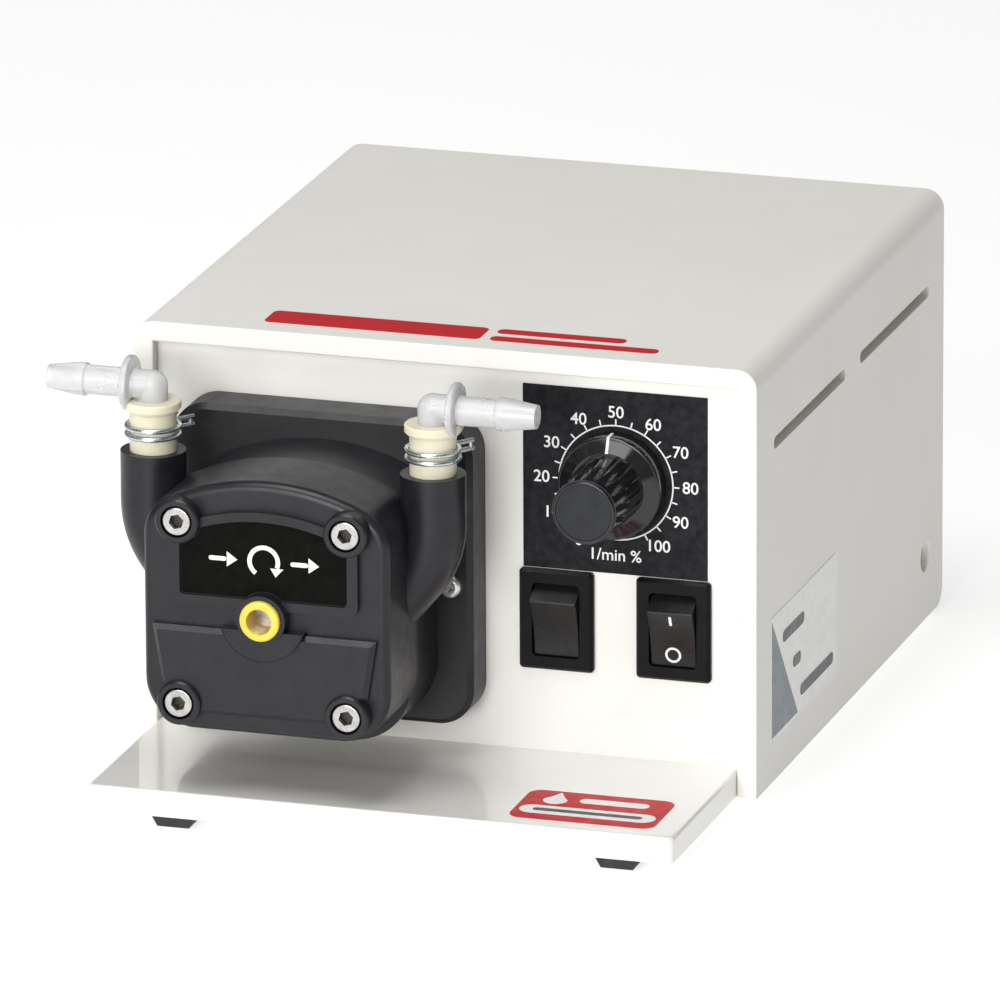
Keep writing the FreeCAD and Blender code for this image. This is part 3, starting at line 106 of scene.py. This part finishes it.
def make_floor():
    mesh = bpy.data.meshes.new("floor")
    corners = [(FLOOR_HALF * x, FLOOR_HALF * y, 0)
               for x, y in ((-1, -1), (1, -1), (1, 1), (-1, 1))]
    mesh.from_pydata(corners, [], [(0, 1, 2, 3)])
    floor = bpy.data.objects.new("floor", mesh)
    bpy.context.scene.collection.objects.link(floor)
    paint = Paint("floor_paper", (0.45, 0.45, 0.448), 0.85)
    paint.tint((0.44, 0.44, 0.438), (0.46, 0.46, 0.458), 3.0)
    paint.set("Emission Color", (1.0, 1.0, 0.997, 1.0))
    paint.set("Emission Strength", FLOOR_GLOW)
    mesh.materials.append(paint.material)


# ---- procedural materials -----------------------------------------------------------
class Paint:
    """A node material built up in steps: base shader, then tint, bump and gloss variation."""

    def __init__(self, name, colour, roughness, metallic=0.0):
        self.material = bpy.data.materials.new(name)
        self.material.use_nodes = True
        self.tree = self.material.node_tree
        self.shader = self.tree.nodes["Principled BSDF"]
        self.set("Base Color", (*colour, 1.0))
        self.set("Roughness", roughness)
        self.set("Metallic", metallic)
        self.coordinate = self.tree.nodes.new("ShaderNodeTexCoord")
        self.normal = None

    def set(self, socket, value):
        self.shader.inputs[socket].default_value = value
        return self

    def link(self, source, target):
        self.tree.links.new(source, target)

    def noise(self, scale, detail=3.0, roughness=0.5, stretch=None):
        node = self.tree.nodes.new("ShaderNodeTexNoise")
        node.inputs["Scale"].default_value = scale
        node.inputs["Detail"].default_value = detail
        node.inputs["Roughness"].default_value = roughness
        source = self.coordinate.outputs["Object"]
        if stretch:
            mapping = self.tree.nodes.new("ShaderNodeMapping")
            mapping.inputs["Scale"].default_value = stretch
            self.link(source, mapping.inputs["Vector"])
            source = mapping.outputs["Vector"]
        self.link(source, node.inputs["Vector"])
        return node

    def spread(self, source, low, high, low_out, high_out):
        """Stretch a texture value from low..high to low_out..high_out."""
        node = self.tree.nodes.new("ShaderNodeMapRange")
        node.inputs["From Min"].default_value = low
        node.inputs["From Max"].default_value = high
        node.inputs["To Min"].default_value = low_out
        node.inputs["To Max"].default_value = high_out
        self.link(source, node.inputs["Value"])
        return node.outputs["Result"]

    def tint(self, dark, light, scale, detail=4.0, stretch=None):
        noise = self.noise(scale, detail, 0.6, stretch)
        mix = self.tree.nodes.new("ShaderNodeMix")
        mix.data_type = "RGBA"
        mix.inputs["A"].default_value = (*dark, 1.0)
        mix.inputs["B"].default_value = (*light, 1.0)
        self.link(self.spread(noise.outputs["Fac"], 0.3, 0.7, 0.0, 1.0), mix.inputs["Factor"])
        self.link(mix.outputs["Result"], self.shader.inputs["Base Color"])
        return self

    def deepen(self, axis, start, end, colour):
        """Painted shade for hollows: turn the tint towards another colour between two places
        along an axis.
        """
        place = self.tree.nodes.new("ShaderNodeSeparateXYZ")
        self.link(self.coordinate.outputs["Object"], place.inputs["Vector"])
        mix = self.tree.nodes.new("ShaderNodeMix")
        mix.data_type = "RGBA"
        self.link(self.shader.inputs["Base Color"].links[0].from_socket, mix.inputs["A"])
        mix.inputs["B"].default_value = (*colour, 1.0)
        self.link(self.spread(place.outputs[axis], start, end, 0.0, 1.0), mix.inputs["Factor"])
        self.link(mix.outputs["Result"], self.shader.inputs["Base Color"])
        return self

    def gloss(self, low, high, scale, stretch=None):
        noise = self.noise(scale, 4.0, 0.6, stretch)
        self.link(self.spread(noise.outputs["Fac"], 0.3, 0.7, low, high),
                  self.shader.inputs["Roughness"])
        return self

    def bump(self, scale, distance, detail=3.0, strength=0.6, stretch=None):
        """Fine relief; distance is its height in metres. Several bumps add up."""
        noise = self.noise(scale, detail, 0.55, stretch)
        node = self.tree.nodes.new("ShaderNodeBump")
        node.inputs["Strength"].default_value = strength
        node.inputs["Distance"].default_value = distance
        self.link(noise.outputs["Fac"], node.inputs["Height"])
        if self.normal:
            self.link(self.normal, node.inputs["Normal"])
        self.normal = node.outputs["Normal"]
        self.link(self.normal, self.shader.inputs["Normal"])
        return self


HOUSING_WHITE = (0.82, 0.805, 0.765)
HOUSING_WHITE_LIGHT = (0.83, 0.817, 0.78)


def housing_paint():
    paint = Paint("housing_paint", HOUSING_WHITE, 0.40)
    paint.tint((0.805, 0.79, 0.745), HOUSING_WHITE_LIGHT, 18.0)
    paint.gloss(0.36, 0.44, 60.0)
    paint.set("Specular IOR Level", 0.12)
    return paint.bump(1400.0, 0.00002, 2.0, 0.30)


def glossy_paint(name, coat_ior):
    """The front panel and base carry the same paint with a shinier surface."""
    paint = Paint(name, HOUSING_WHITE, 0.36)
    paint.tint((0.81, 0.795, 0.75), HOUSING_WHITE_LIGHT, 18.0)
    paint.gloss(0.33, 0.40, 60.0)
    paint.set("Coat Weight", 0.7)
    paint.set("Coat Roughness", 0.06)
    paint.set("Coat IOR", coat_ior)
    return paint.bump(1400.0, 0.00001, 2.0, 0.2)


def head_plastic():
    paint = Paint("head_plastic", (0.014, 0.014, 0.018), 0.38)
    paint.tint((0.008, 0.008, 0.011), (0.013, 0.013, 0.017), 140.0)
    paint.gloss(0.30, 0.40, 220.0)
    paint.set("Specular IOR Level", 0.40)
    return paint.bump(3200.0, 0.00003, 3.0, 0.5)


def adapter_black():
    paint = Paint("adapter_black", (0.016, 0.015, 0.017), 0.42)
    paint.tint((0.009, 0.008, 0.010), (0.015, 0.014, 0.016), 90.0)
    paint.gloss(0.38, 0.48, 150.0)
    paint.set("Specular IOR Level", 0.42)
    return paint.bump(2400.0, 0.00003, 3.0, 0.5)


def rubber(name, colour, lighter):
    paint = Paint(name, colour, 0.75)
    paint.tint(colour, lighter, 180.0)
    paint.gloss(0.65, 0.85, 320.0)
    return paint.bump(1800.0, 0.00006)


def turned_metal(name, colour, roughness):
    paint = Paint(name, colour, roughness, 1.0)
    lighter = tuple(min(1.0, 1.15 * c) for c in colour)
    paint.tint(tuple(0.85 * c for c in colour), lighter, 400.0)
    paint.gloss(0.7 * roughness, 1.4 * roughness, 700.0)
    return paint.bump(2600.0, 0.00002, 4.0, 0.4, (1.0, 0.15, 1.0))


def socket_screw():
    """Screw steel, darker than the other screws, with painted shade that turns it dark down in
    the hex sockets.
    """
    paint = turned_metal("screw_steel_socket_shade", (0.52, 0.51, 0.49), 0.30)
    rim_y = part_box("head_screws")[0].y
    # painted shade: from 0.5 mm to 2.2 mm behind the heads' front, the steel fades to near
    # black, as shade falls in the sockets
    return paint.deepen("Y", rim_y + 0.0005, rim_y + 0.0022, (0.075, 0.07, 0.065))


def zinc_wire():
    paint = Paint("clip_zinc", (0.62, 0.68, 0.72), 0.22, 1.0)
    paint.tint((0.50, 0.58, 0.62), (0.74, 0.77, 0.76), 260.0)
    paint.gloss(0.16, 0.34, 500.0)
    return paint.bump(1500.0, 0.00003)


def grained_film():
    paint = Paint("label_black", (0.010, 0.010, 0.012), 0.50)
    paint.tint((0.003, 0.003, 0.004), (0.018, 0.019, 0.023), 420.0, 6.0)
    paint.gloss(0.45, 0.60, 900.0)
    paint.set("Specular IOR Level", 0.14)
    return paint.bump(1700.0, 0.00007, 3.0, 0.8)


def head_film():
    """The smoother film of the pump head's own label."""
    paint = Paint("head_film", (0.006, 0.0065, 0.005), 0.35)
    paint.tint((0.003, 0.0035, 0.002), (0.006, 0.0065, 0.005), 300.0)
    paint.gloss(0.32, 0.40, 400.0)
    paint.set("Specular IOR Level", 0.04)
    return paint.bump(1800.0, 0.00002, 2.0, 0.4)


def printed(name, colour, roughness=0.35):
    paint = Paint(name, colour, roughness)
    darker = tuple(0.9 * c for c in colour)
    paint.tint(darker, colour, 220.0)
    paint.gloss(0.8 * roughness, 1.2 * roughness, 300.0)
    return paint.bump(2200.0, 0.00001)


def bush_yellow():
    paint = Paint("bush_yellow", (0.76, 0.60, 0.07), 0.32)
    paint.tint((0.70, 0.54, 0.05), (0.80, 0.65, 0.11), 160.0)
    face_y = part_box("front_bush")[0].y
    # painted shade: from 1 mm to 10 mm behind the bush's front face the yellow turns
    # brown-orange, as shade falls down the bore
    paint.deepen("Y", face_y + 0.001, face_y + 0.010, (0.50, 0.25, 0.015))
    return paint.bump(1500.0, 0.00001)


def tube_cream():
    paint = Paint("tube_cream", (0.84, 0.80, 0.62), 0.42)
    paint.tint((0.70, 0.655, 0.49), (0.76, 0.72, 0.57), 70.0)
    paint.gloss(0.36, 0.5, 120.0)
    paint.set("Subsurface Weight", 0.5)
    paint.set("Subsurface Radius", (0.004, 0.003, 0.0015))
    paint.set("Subsurface Scale", 0.6)
    return paint.bump(700.0, 0.00004, 3.0, 0.4, (1.0, 1.0, 0.2))


def elbow_clear():
    paint = Paint("elbow_clear", (0.92, 0.92, 0.92), 0.24)
    paint.tint((0.88, 0.88, 0.885), (0.92, 0.92, 0.915), 60.0)
    paint.gloss(0.20, 0.30, 90.0)
    paint.set("Transmission Weight", 0.55)
    paint.set("IOR", 1.40)
    return paint


def moulded(name, colour, roughness, texture=0.00003, shine=0.5):
    paint = Paint(name, colour, roughness)
    paint.set("Specular IOR Level", shine)
    paint.tint(tuple(0.8 * c for c in colour), tuple(1.2 * c for c in colour), 160.0)
    paint.gloss(0.85 * roughness, 1.2 * roughness, 260.0)
    return paint.bump(2600.0, texture)


def knob_gloss():
    paint = Paint("knob_gloss", (0.008, 0.008, 0.009), 0.10)
    paint.tint((0.006, 0.006, 0.007), (0.012, 0.012, 0.013), 120.0)
    paint.gloss(0.06, 0.16, 180.0)
    paint.set("Specular IOR Level", 0.6)
    return paint.bump(400.0, 0.00002, 2.0, 0.2)


def laminated_core():
    """Stacked steel sheets: fine bands across the axis."""
    paint = Paint("core_steel", (0.16, 0.13, 0.11), 0.5, 0.6)
    paint.tint((0.09, 0.07, 0.06), (0.24, 0.20, 0.17), 600.0, 2.0, (0.02, 3.0, 0.02))
    return paint.bump(900.0, 0.00010, 2.0, 0.6, (0.02, 3.0, 0.02))


def board_green():
    paint = Paint("board_green", (0.02, 0.14, 0.07), 0.35)
    paint.tint((0.012, 0.10, 0.05), (0.035, 0.19, 0.10), 260.0)
    return paint.bump(900.0, 0.00004)


def make_materials():
    """One material for each finish in the record."""
    return {
        "housing_paint": housing_paint(),
        "head_plastic": head_plastic(),
        "adapter_black": adapter_black(),
        "gasket_rubber": rubber("gasket_rubber", (0.02, 0.02, 0.02), (0.035, 0.035, 0.035)),
        "foot_rubber": rubber("foot_rubber", (0.012, 0.012, 0.012), (0.026, 0.026, 0.026)),
        "screw_steel": turned_metal("screw_steel", (0.70, 0.69, 0.66), 0.30),
        "clip_zinc": zinc_wire(),
        "label_black": grained_film(),
        "sticker_white": printed("sticker_white", (0.84, 0.84, 0.81)),
        "print_red": printed("print_red", (0.56, 0.010, 0.016), 0.5),
        "bush_yellow": bush_yellow(),
        "tube_cream": tube_cream(),
        "elbow_clear": elbow_clear(),
        "shaft_steel": turned_metal("shaft_steel", (0.62, 0.62, 0.62), 0.24),
        "roller_plastic": moulded("roller_plastic", (0.70, 0.70, 0.66), 0.3),
        "carrier_plastic": moulded("carrier_plastic", (0.05, 0.05, 0.055), 0.5),
        "gear_plastic": moulded("gear_plastic", (0.70, 0.66, 0.54), 0.4),
        "pinion_brass": turned_metal("pinion_brass", (0.68, 0.50, 0.22), 0.3),
        "bush_bronze": turned_metal("bush_bronze", (0.50, 0.33, 0.17), 0.45),
        "bearing_steel": turned_metal("bearing_steel", (0.60, 0.61, 0.62), 0.2),
        "gearcase_metal": turned_metal("gearcase_metal", (0.52, 0.53, 0.55), 0.5),
        "motor_steel": turned_metal("motor_steel", (0.40, 0.42, 0.44), 0.35),
        "motor_cap_plastic": moulded("motor_cap_plastic", (0.03, 0.03, 0.035), 0.5),
        "core_steel": laminated_core(),
        "knob_gloss": knob_gloss(),
        "cap_grey": moulded("cap_grey", (0.022, 0.023, 0.028), 0.5, 0.00005, 0.22),
        "pot_metal": turned_metal("pot_metal", (0.55, 0.55, 0.52), 0.35),
        "switch_black": moulded("switch_black", (0.006, 0.006, 0.007), 0.40, shine=0.12),
        "rocker_black": moulded("rocker_black", (0.014, 0.013, 0.013), 0.30, 0.00002, 0.35),
        "terminal_brass": turned_metal("terminal_brass", (0.70, 0.62, 0.38), 0.3),
        "inlet_black": moulded("inlet_black", (0.015, 0.015, 0.016), 0.45),
        "board_green": board_green(),
    }


def dress_frame(materials):
    """Give every CAD node the material of its slot; a few nodes have a variant of their own."""
    variants = {"head_label": head_film(), "head_screws": socket_screw(),
                "front_panel": glossy_paint("panel_paint", 1.5),
                "base_plate": glossy_paint("base_paint", 2.1)}
    for row in frame["record"]["subparts"]:
        node = NODES[row["node"]]
        finish = variants.get(row["node"], materials[row["material_slot"]])
        node.data.materials.clear()
        node.data.materials.append(finish.material)


# ---- thin printed marks -------------------------------------------------------------
PRINT_T = 0.06 * MM
PRINT_LIFT = 0.01 * MM
FULL_TURN = 359.9                # just short of closing, so a ring's outline never meets itself
CAPITAL_SHARE = 0.70             # height of a capital as a share of the type's size
STROKE_GAIN = 0.012              # how much the ink spreads, as a share of the height


def add_piece(name, mesh, material, body):
    mesh.materials.clear()
    mesh.materials.append(material)
    piece = bpy.data.objects.new(name, mesh)
    bpy.context.scene.collection.objects.link(piece)
    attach(piece, body)
    return piece


def extruded(name, outlines, thickness):
    """Closed flat shapes in the XY plane, each a list of points, given a thickness along Z."""
    work = bmesh.new()
    for outline in outlines:
        bottom = [work.verts.new((x, y, 0.0)) for x, y in outline]
        top = [work.verts.new((x, y, thickness)) for x, y in outline]
        work.faces.new(list(reversed(bottom)))
        work.faces.new(top)
        count = len(outline)
        for i in range(count):
            j = (i + 1) % count
            work.faces.new((bottom[i], bottom[j], top[j], top[i]))
    bmesh.ops.recalc_face_normals(work, faces=work.faces)
    mesh = bpy.data.meshes.new(name)
    work.to_mesh(mesh)
    work.free()
    return mesh


def ring_sector(inner, outer, start, end, steps):
    """Outline of part of a flat ring, angles in degrees."""
    angles = [math.radians(start + (end - start) * i / steps) for i in range(steps + 1)]
    outside = [(outer * math.cos(a), outer * math.sin(a)) for a in angles]
    inside = [(inner * math.cos(a), inner * math.sin(a)) for a in reversed(angles)]
    return outside + inside


def round_bar(x, y, length, width, lean=0.0):
    """Outline of a bar with round ends, centred at x, y."""
    points = []
    r = width / 2
    half = length / 2 - r
    steps = 8
    for end in (1, -1):
        for i in range(steps + 1):
            a = math.pi * (i / steps - 0.5) + (0 if end > 0 else math.pi)
            points.append((end * half + r * math.cos(a), r * math.sin(a)))
    c, s = math.cos(lean), math.sin(lean)
    return [(x + px * c - py * s, y + px * s + py * c) for px, py in points]


def moved(outline, x, y):
    return [(px + x, py + y) for px, py in outline]


def facing_front(x, y, z):
    """Places an XY drawing on a face that looks towards -Y."""
    return Matrix.Translation((x, y, z)) @ Matrix.Rotation(math.pi / 2, 4, "X")


def facing_right(x, y, z):
    """Places an XY drawing on a face that looks towards +X."""
    turn = Matrix.Rotation(math.pi / 2, 4, "Z") @ Matrix.Rotation(math.pi / 2, 4, "X")
    return Matrix.Translation((x, y, z)) @ turn


def text_mesh(name, rows, height):
    """Several words, each (text, x, y), as one flat mesh in the XY plane."""
    work = bmesh.new()
    for text, x, y in rows:
        curve = bpy.data.curves.new(name, "FONT")
        curve.body = text
        curve.size = height / CAPITAL_SHARE
        curve.align_x = "CENTER"
        curve.align_y = "CENTER"
        curve.extrude = PRINT_T / 2
        curve.offset = STROKE_GAIN * height
        holder = bpy.data.objects.new(name, curve)
        bpy.context.scene.collection.objects.link(holder)
        depsgraph = bpy.context.evaluated_depsgraph_get()
        mesh = bpy.data.meshes.new_from_object(holder.evaluated_get(depsgraph))
        mesh.transform(Matrix.Translation((x, y, PRINT_T / 2)))
        work.from_mesh(mesh)
        bpy.data.objects.remove(holder)
        bpy.data.meshes.remove(mesh)
        bpy.data.curves.remove(curve)
    bmesh.ops.remove_doubles(work, verts=work.verts, dist=1e-7)
    result = bpy.data.meshes.new(name)
    work.to_mesh(result)
    work.free()
    return result


# ---- dial scale ---------------------------------------------------------------------
SCALE_R = 17.3 * MM
SCALE_SHIFT_X = 0.35 * MM        # the printed scale sits a little to the right of the shaft
TICK_END_R = 19.3 * MM
NUMERAL_RX = 22.6 * MM
NUMERAL_RZ = 21.2 * MM
NUMERAL_H = 3.5 * MM
LINE_W = 0.42 * MM
ZERO_DEG = 240.0                 # where 0 stands, and how far one unit turns
UNIT_DEG = 3.0
HUNDRED_SHIFT_X = 1.5 * MM       # the longest numeral is moved clear of its tick
WORDS_AT = (-0.3 * MM, -22.2 * MM)


def dial_angle(value):
    """Angle of a dial value, 0 to 100, measured from +X towards +Z."""
    return math.radians(ZERO_DEG - UNIT_DEG * value)


def make_dial_scale(white):
    low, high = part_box("knob")
    x, z = (low.x + high.x) / 2 + SCALE_SHIFT_X, (low.z + high.z) / 2
    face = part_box("dial_label")[0].y - PRINT_LIFT
    shapes = [ring_sector(SCALE_R - LINE_W / 2, SCALE_R + LINE_W / 2, 0, FULL_TURN, 120)]
    middle = (SCALE_R + TICK_END_R) / 2
    for value in range(0, 101, 5):
        a = dial_angle(value)
        shapes.append(round_bar(middle * math.cos(a), middle * math.sin(a),
                                TICK_END_R - SCALE_R, LINE_W, a))
    rows = []
    for value in range(0, 101, 10):
        a = dial_angle(value)
        shift = HUNDRED_SHIFT_X if value == 100 else 0.0
        rows.append((str(value), NUMERAL_RX * math.cos(a) + shift, NUMERAL_RZ * math.sin(a)))
    rows.append(("1/min %", *WORDS_AT))
    for name, mesh in (("dial_scale", extruded("dial_scale", shapes, PRINT_T)),
                       ("dial_numerals", text_mesh("dial_numerals", rows, NUMERAL_H))):
        mesh.transform(facing_front(x, face, z))
        add_piece(name, mesh, white, "root")


POINTER_W = 0.85 * MM
POINTER_T = 0.05 * MM
SKIRT_BEHIND = 5.7 * MM          # from the rim's front edge to the knob's back
# distance from the axis and behind the rim's front edge, in millimetres
POINTER_PATH = ((15.62, 4.6), (15.62, 0.5), (15.45, 0.14), (15.05, -0.02), (14.8, -0.03),
                (11.1, -1.70))


def make_pointer(white):
    """White line over the knob's rim and up its sloping skirt, at the dial's resting value."""
    low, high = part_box("knob")
    x, z = (low.x + high.x) / 2, (low.z + high.z) / 2
    rim_y = high.y - SKIRT_BEHIND
    work = bmesh.new()
    rows = []
    for r, back in POINTER_PATH:
        row = []
        for side, lift in ((-1, 0.0), (1, 0.0), (1, POINTER_T), (-1, POINTER_T)):
            place = (x + side * POINTER_W / 2, rim_y + back * MM - lift, z + r * MM + lift / 2)
            row.append(work.verts.new(place))
        rows.append(row)
    for near, far in zip(rows, rows[1:]):
        for i in range(4):
            j = (i + 1) % 4
            work.faces.new((near[i], near[j], far[j], far[i]))
    work.faces.new(rows[0])
    work.faces.new(rows[-1])
    bmesh.ops.recalc_face_normals(work, faces=work.faces)
    mesh = bpy.data.meshes.new("knob_pointer")
    work.to_mesh(mesh)
    work.free()
    add_piece("knob_pointer", mesh, white, "dial")


# ---- marks on the head, rockers and housing -----------------------------------------
HEAD_MARK_RISE = 11.2 * MM       # above the label's lower edge
HEAD_STROKE_W = 1.35 * MM
TURN_R = 4.3 * MM
TURN_START, TURN_END = -22, 235  # degrees
ARROW_HALF_W = 2.0 * MM
ARROW_L = 2.6 * MM
FLOW_X = 12.4 * MM               # middle of each flow arrow, from the turning arrow's centre
FLOW_L = 5.4 * MM
FLOW_HEAD_W = 4.6 * MM
FLOW_HEAD_L = 3.2 * MM


def turning_arrow():
    """Part of a ring with an arrowhead at its lower right end."""
    half = HEAD_STROKE_W / 2
    tip = math.radians(TURN_START - 1)
    x, y = TURN_R * math.cos(tip), TURN_R * math.sin(tip) - 0.1 * MM
    head = [(x - ARROW_HALF_W, y), (x + ARROW_HALF_W, y), (x - 0.4 * MM, y - ARROW_L)]
    return [ring_sector(TURN_R - half, TURN_R + half, TURN_START, TURN_END, 48), head]


def flow_arrow(x):
    bar = round_bar(x - 1.6 * MM, 0, FLOW_L, HEAD_STROKE_W)
    back = x + 1.2 * MM
    head = [(back, -FLOW_HEAD_W / 2), (back + FLOW_HEAD_L, 0.0), (back, FLOW_HEAD_W / 2)]
    return [bar, head]


def make_head_mark(white):
    """A plain pictogram: a turning arrow between two flow arrows."""
    low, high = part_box("head_label")
    x, z = (low.x + high.x) / 2, low.z + HEAD_MARK_RISE
    shapes = turning_arrow() + flow_arrow(-FLOW_X) + flow_arrow(FLOW_X)
    mesh = extruded("head_mark", shapes, PRINT_T)
    mesh.transform(facing_front(x, low.y - PRINT_LIFT, z))
    add_piece("head_mark", mesh, white, "root")


def drop_outline(x, y, r):
    """A drop standing point upwards."""
    points = []
    steps = 28
    for i in range(steps):
        a = 2 * math.pi * i / steps
        rise = max(0.0, math.sin(a))
        points.append((x + r * math.cos(a) * (1.0 - 0.6 * rise ** 2),
                       y + r * math.sin(a) * (1.0 + 0.9 * rise ** 3)))
    return points


BAND_Y = -4.6 * MM               # the white band, below the label's middle
BASE_BARS = ((5.0 * MM, 6.2 * MM, 21 * MM, 4.2 * MM), (0.0, BAND_Y, 41 * MM, 7.4 * MM))
BASE_LINE = (0.0, BAND_Y, 33 * MM, 2.4 * MM)
BASE_DROP = (-12.5 * MM, 4.7 * MM, 3.6 * MM)


def make_base_mark(white, ink):
    """A drop and bars on the red label, above a white band with a dark line on it."""
    low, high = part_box("base_label")
    x, y = (low.x + high.x) / 2, (low.y + high.y) / 2
    shapes = [round_bar(*bar) for bar in BASE_BARS] + [drop_outline(*BASE_DROP)]
    line = [round_bar(*BASE_LINE)]
    for name, drawing, material, lift in (("base_mark", shapes, white, 0.0),
                                          ("base_line", line, ink, PRINT_T)):
        mesh = extruded(name, drawing, PRINT_T)
        mesh.transform(Matrix.Translation((x, y, high.z + PRINT_LIFT + lift)))
        add_piece(name, mesh, material, "root")


TRIANGLE_REACH = 27.0 * MM
STICKER_INSET = 1.2 * MM
STICKER_BAR_W = 3.6 * MM
# start, end and level of each bar, in millimetres from the sticker's lower front corner
STICKER_BARS = ((12.5, 35.0, 28.8), (23.3, 31.5, 17.8), (31.0, 66.0, 6.9))


def make_sticker_marks(triangle_ink, bar_ink):
    """A plain triangle and three bars in place of a picture and words."""
    low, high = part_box("side_sticker")
    top = high.z - low.z - STICKER_INSET
    triangle = [(STICKER_INSET, STICKER_INSET), (STICKER_INSET + TRIANGLE_REACH, STICKER_INSET),
                (STICKER_INSET, top)]
    bars = []
    for start, end, level in STICKER_BARS:
        middle, length = (start + end) / 2 * MM, (end - start) * MM
        bars.append(round_bar(middle, level * MM, length, STICKER_BAR_W))
    for name, drawing, ink in (("sticker_triangle", [triangle], triangle_ink),
                               ("sticker_bars", bars, bar_ink)):
        mesh = extruded(name, drawing, PRINT_T)
        mesh.transform(facing_right(high.x + PRINT_LIFT, low.y, low.z))
        add_piece(name, mesh, ink, "root")


ROCKER_TILT = math.radians(15)
ROCKER_PIVOT = Vector((0.0, -57.5 * MM, 51.5 * MM))
ROCKER_TIP_Y = 8.7 * MM          # the face's upper edge in front of the pivot, and above it
ROCKER_TIP_Z = 9.057 * MM
FACE_HOLLOW_R = 43.0 * MM
ON_RISE = 6.1 * MM
ON_SIZE = (3.4 * MM, 0.85 * MM)
OFF_RISE = -5.5 * MM
OFF_RING = (1.72 * MM, 2.42 * MM)


def rocker_face(level):
    """How far the hollow face stands in front of the pivot, at a level above it."""
    tip = math.sqrt(FACE_HOLLOW_R ** 2 - ROCKER_TIP_Z ** 2)
    return ROCKER_TIP_Y + tip - math.sqrt(FACE_HOLLOW_R ** 2 - level ** 2)


def make_rocker_marks(white):
    """The usual I and O on the two halves of the right rocker."""
    low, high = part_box("rocker_right")
    x = (low.x + high.x) / 2
    bar = [round_bar(0, ON_RISE, *ON_SIZE, math.pi / 2)]
    ring = [moved(ring_sector(*OFF_RING, 0, FULL_TURN, 40), 0, OFF_RISE)]
    tilt = Matrix.Rotation(ROCKER_TILT, 4, "X")
    place = Matrix.Translation(ROCKER_PIVOT + Vector((x, 0, 0))) @ tilt
    for name, drawing in (("rocker_on", bar), ("rocker_off", ring)):
        mesh = extruded(name, drawing, PRINT_T)
        for vertex in mesh.vertices:
            u, level, lift = vertex.co
            front = rocker_face(level) + lift + PRINT_LIFT
            vertex.co = place @ Vector((u, -front, level))
        add_piece(name, mesh, white, "rocker_right")


# ---- putting it together ------------------------------------------------------------
make_camera()
make_studio()
make_floor()
dress_frame(make_materials())
WHITE_INK = printed("white_ink", (0.86, 0.86, 0.85), 0.4).material
DARK_INK = printed("dark_ink", (0.045, 0.045, 0.05), 0.4).material
GREY_INK = printed("grey_ink", (0.17, 0.20, 0.24), 0.4).material
make_dial_scale(WHITE_INK)
make_pointer(WHITE_INK)
make_head_mark(WHITE_INK)
make_base_mark(WHITE_INK, DARK_INK)
make_sticker_marks(GREY_INK, DARK_INK)
make_rocker_marks(WHITE_INK)
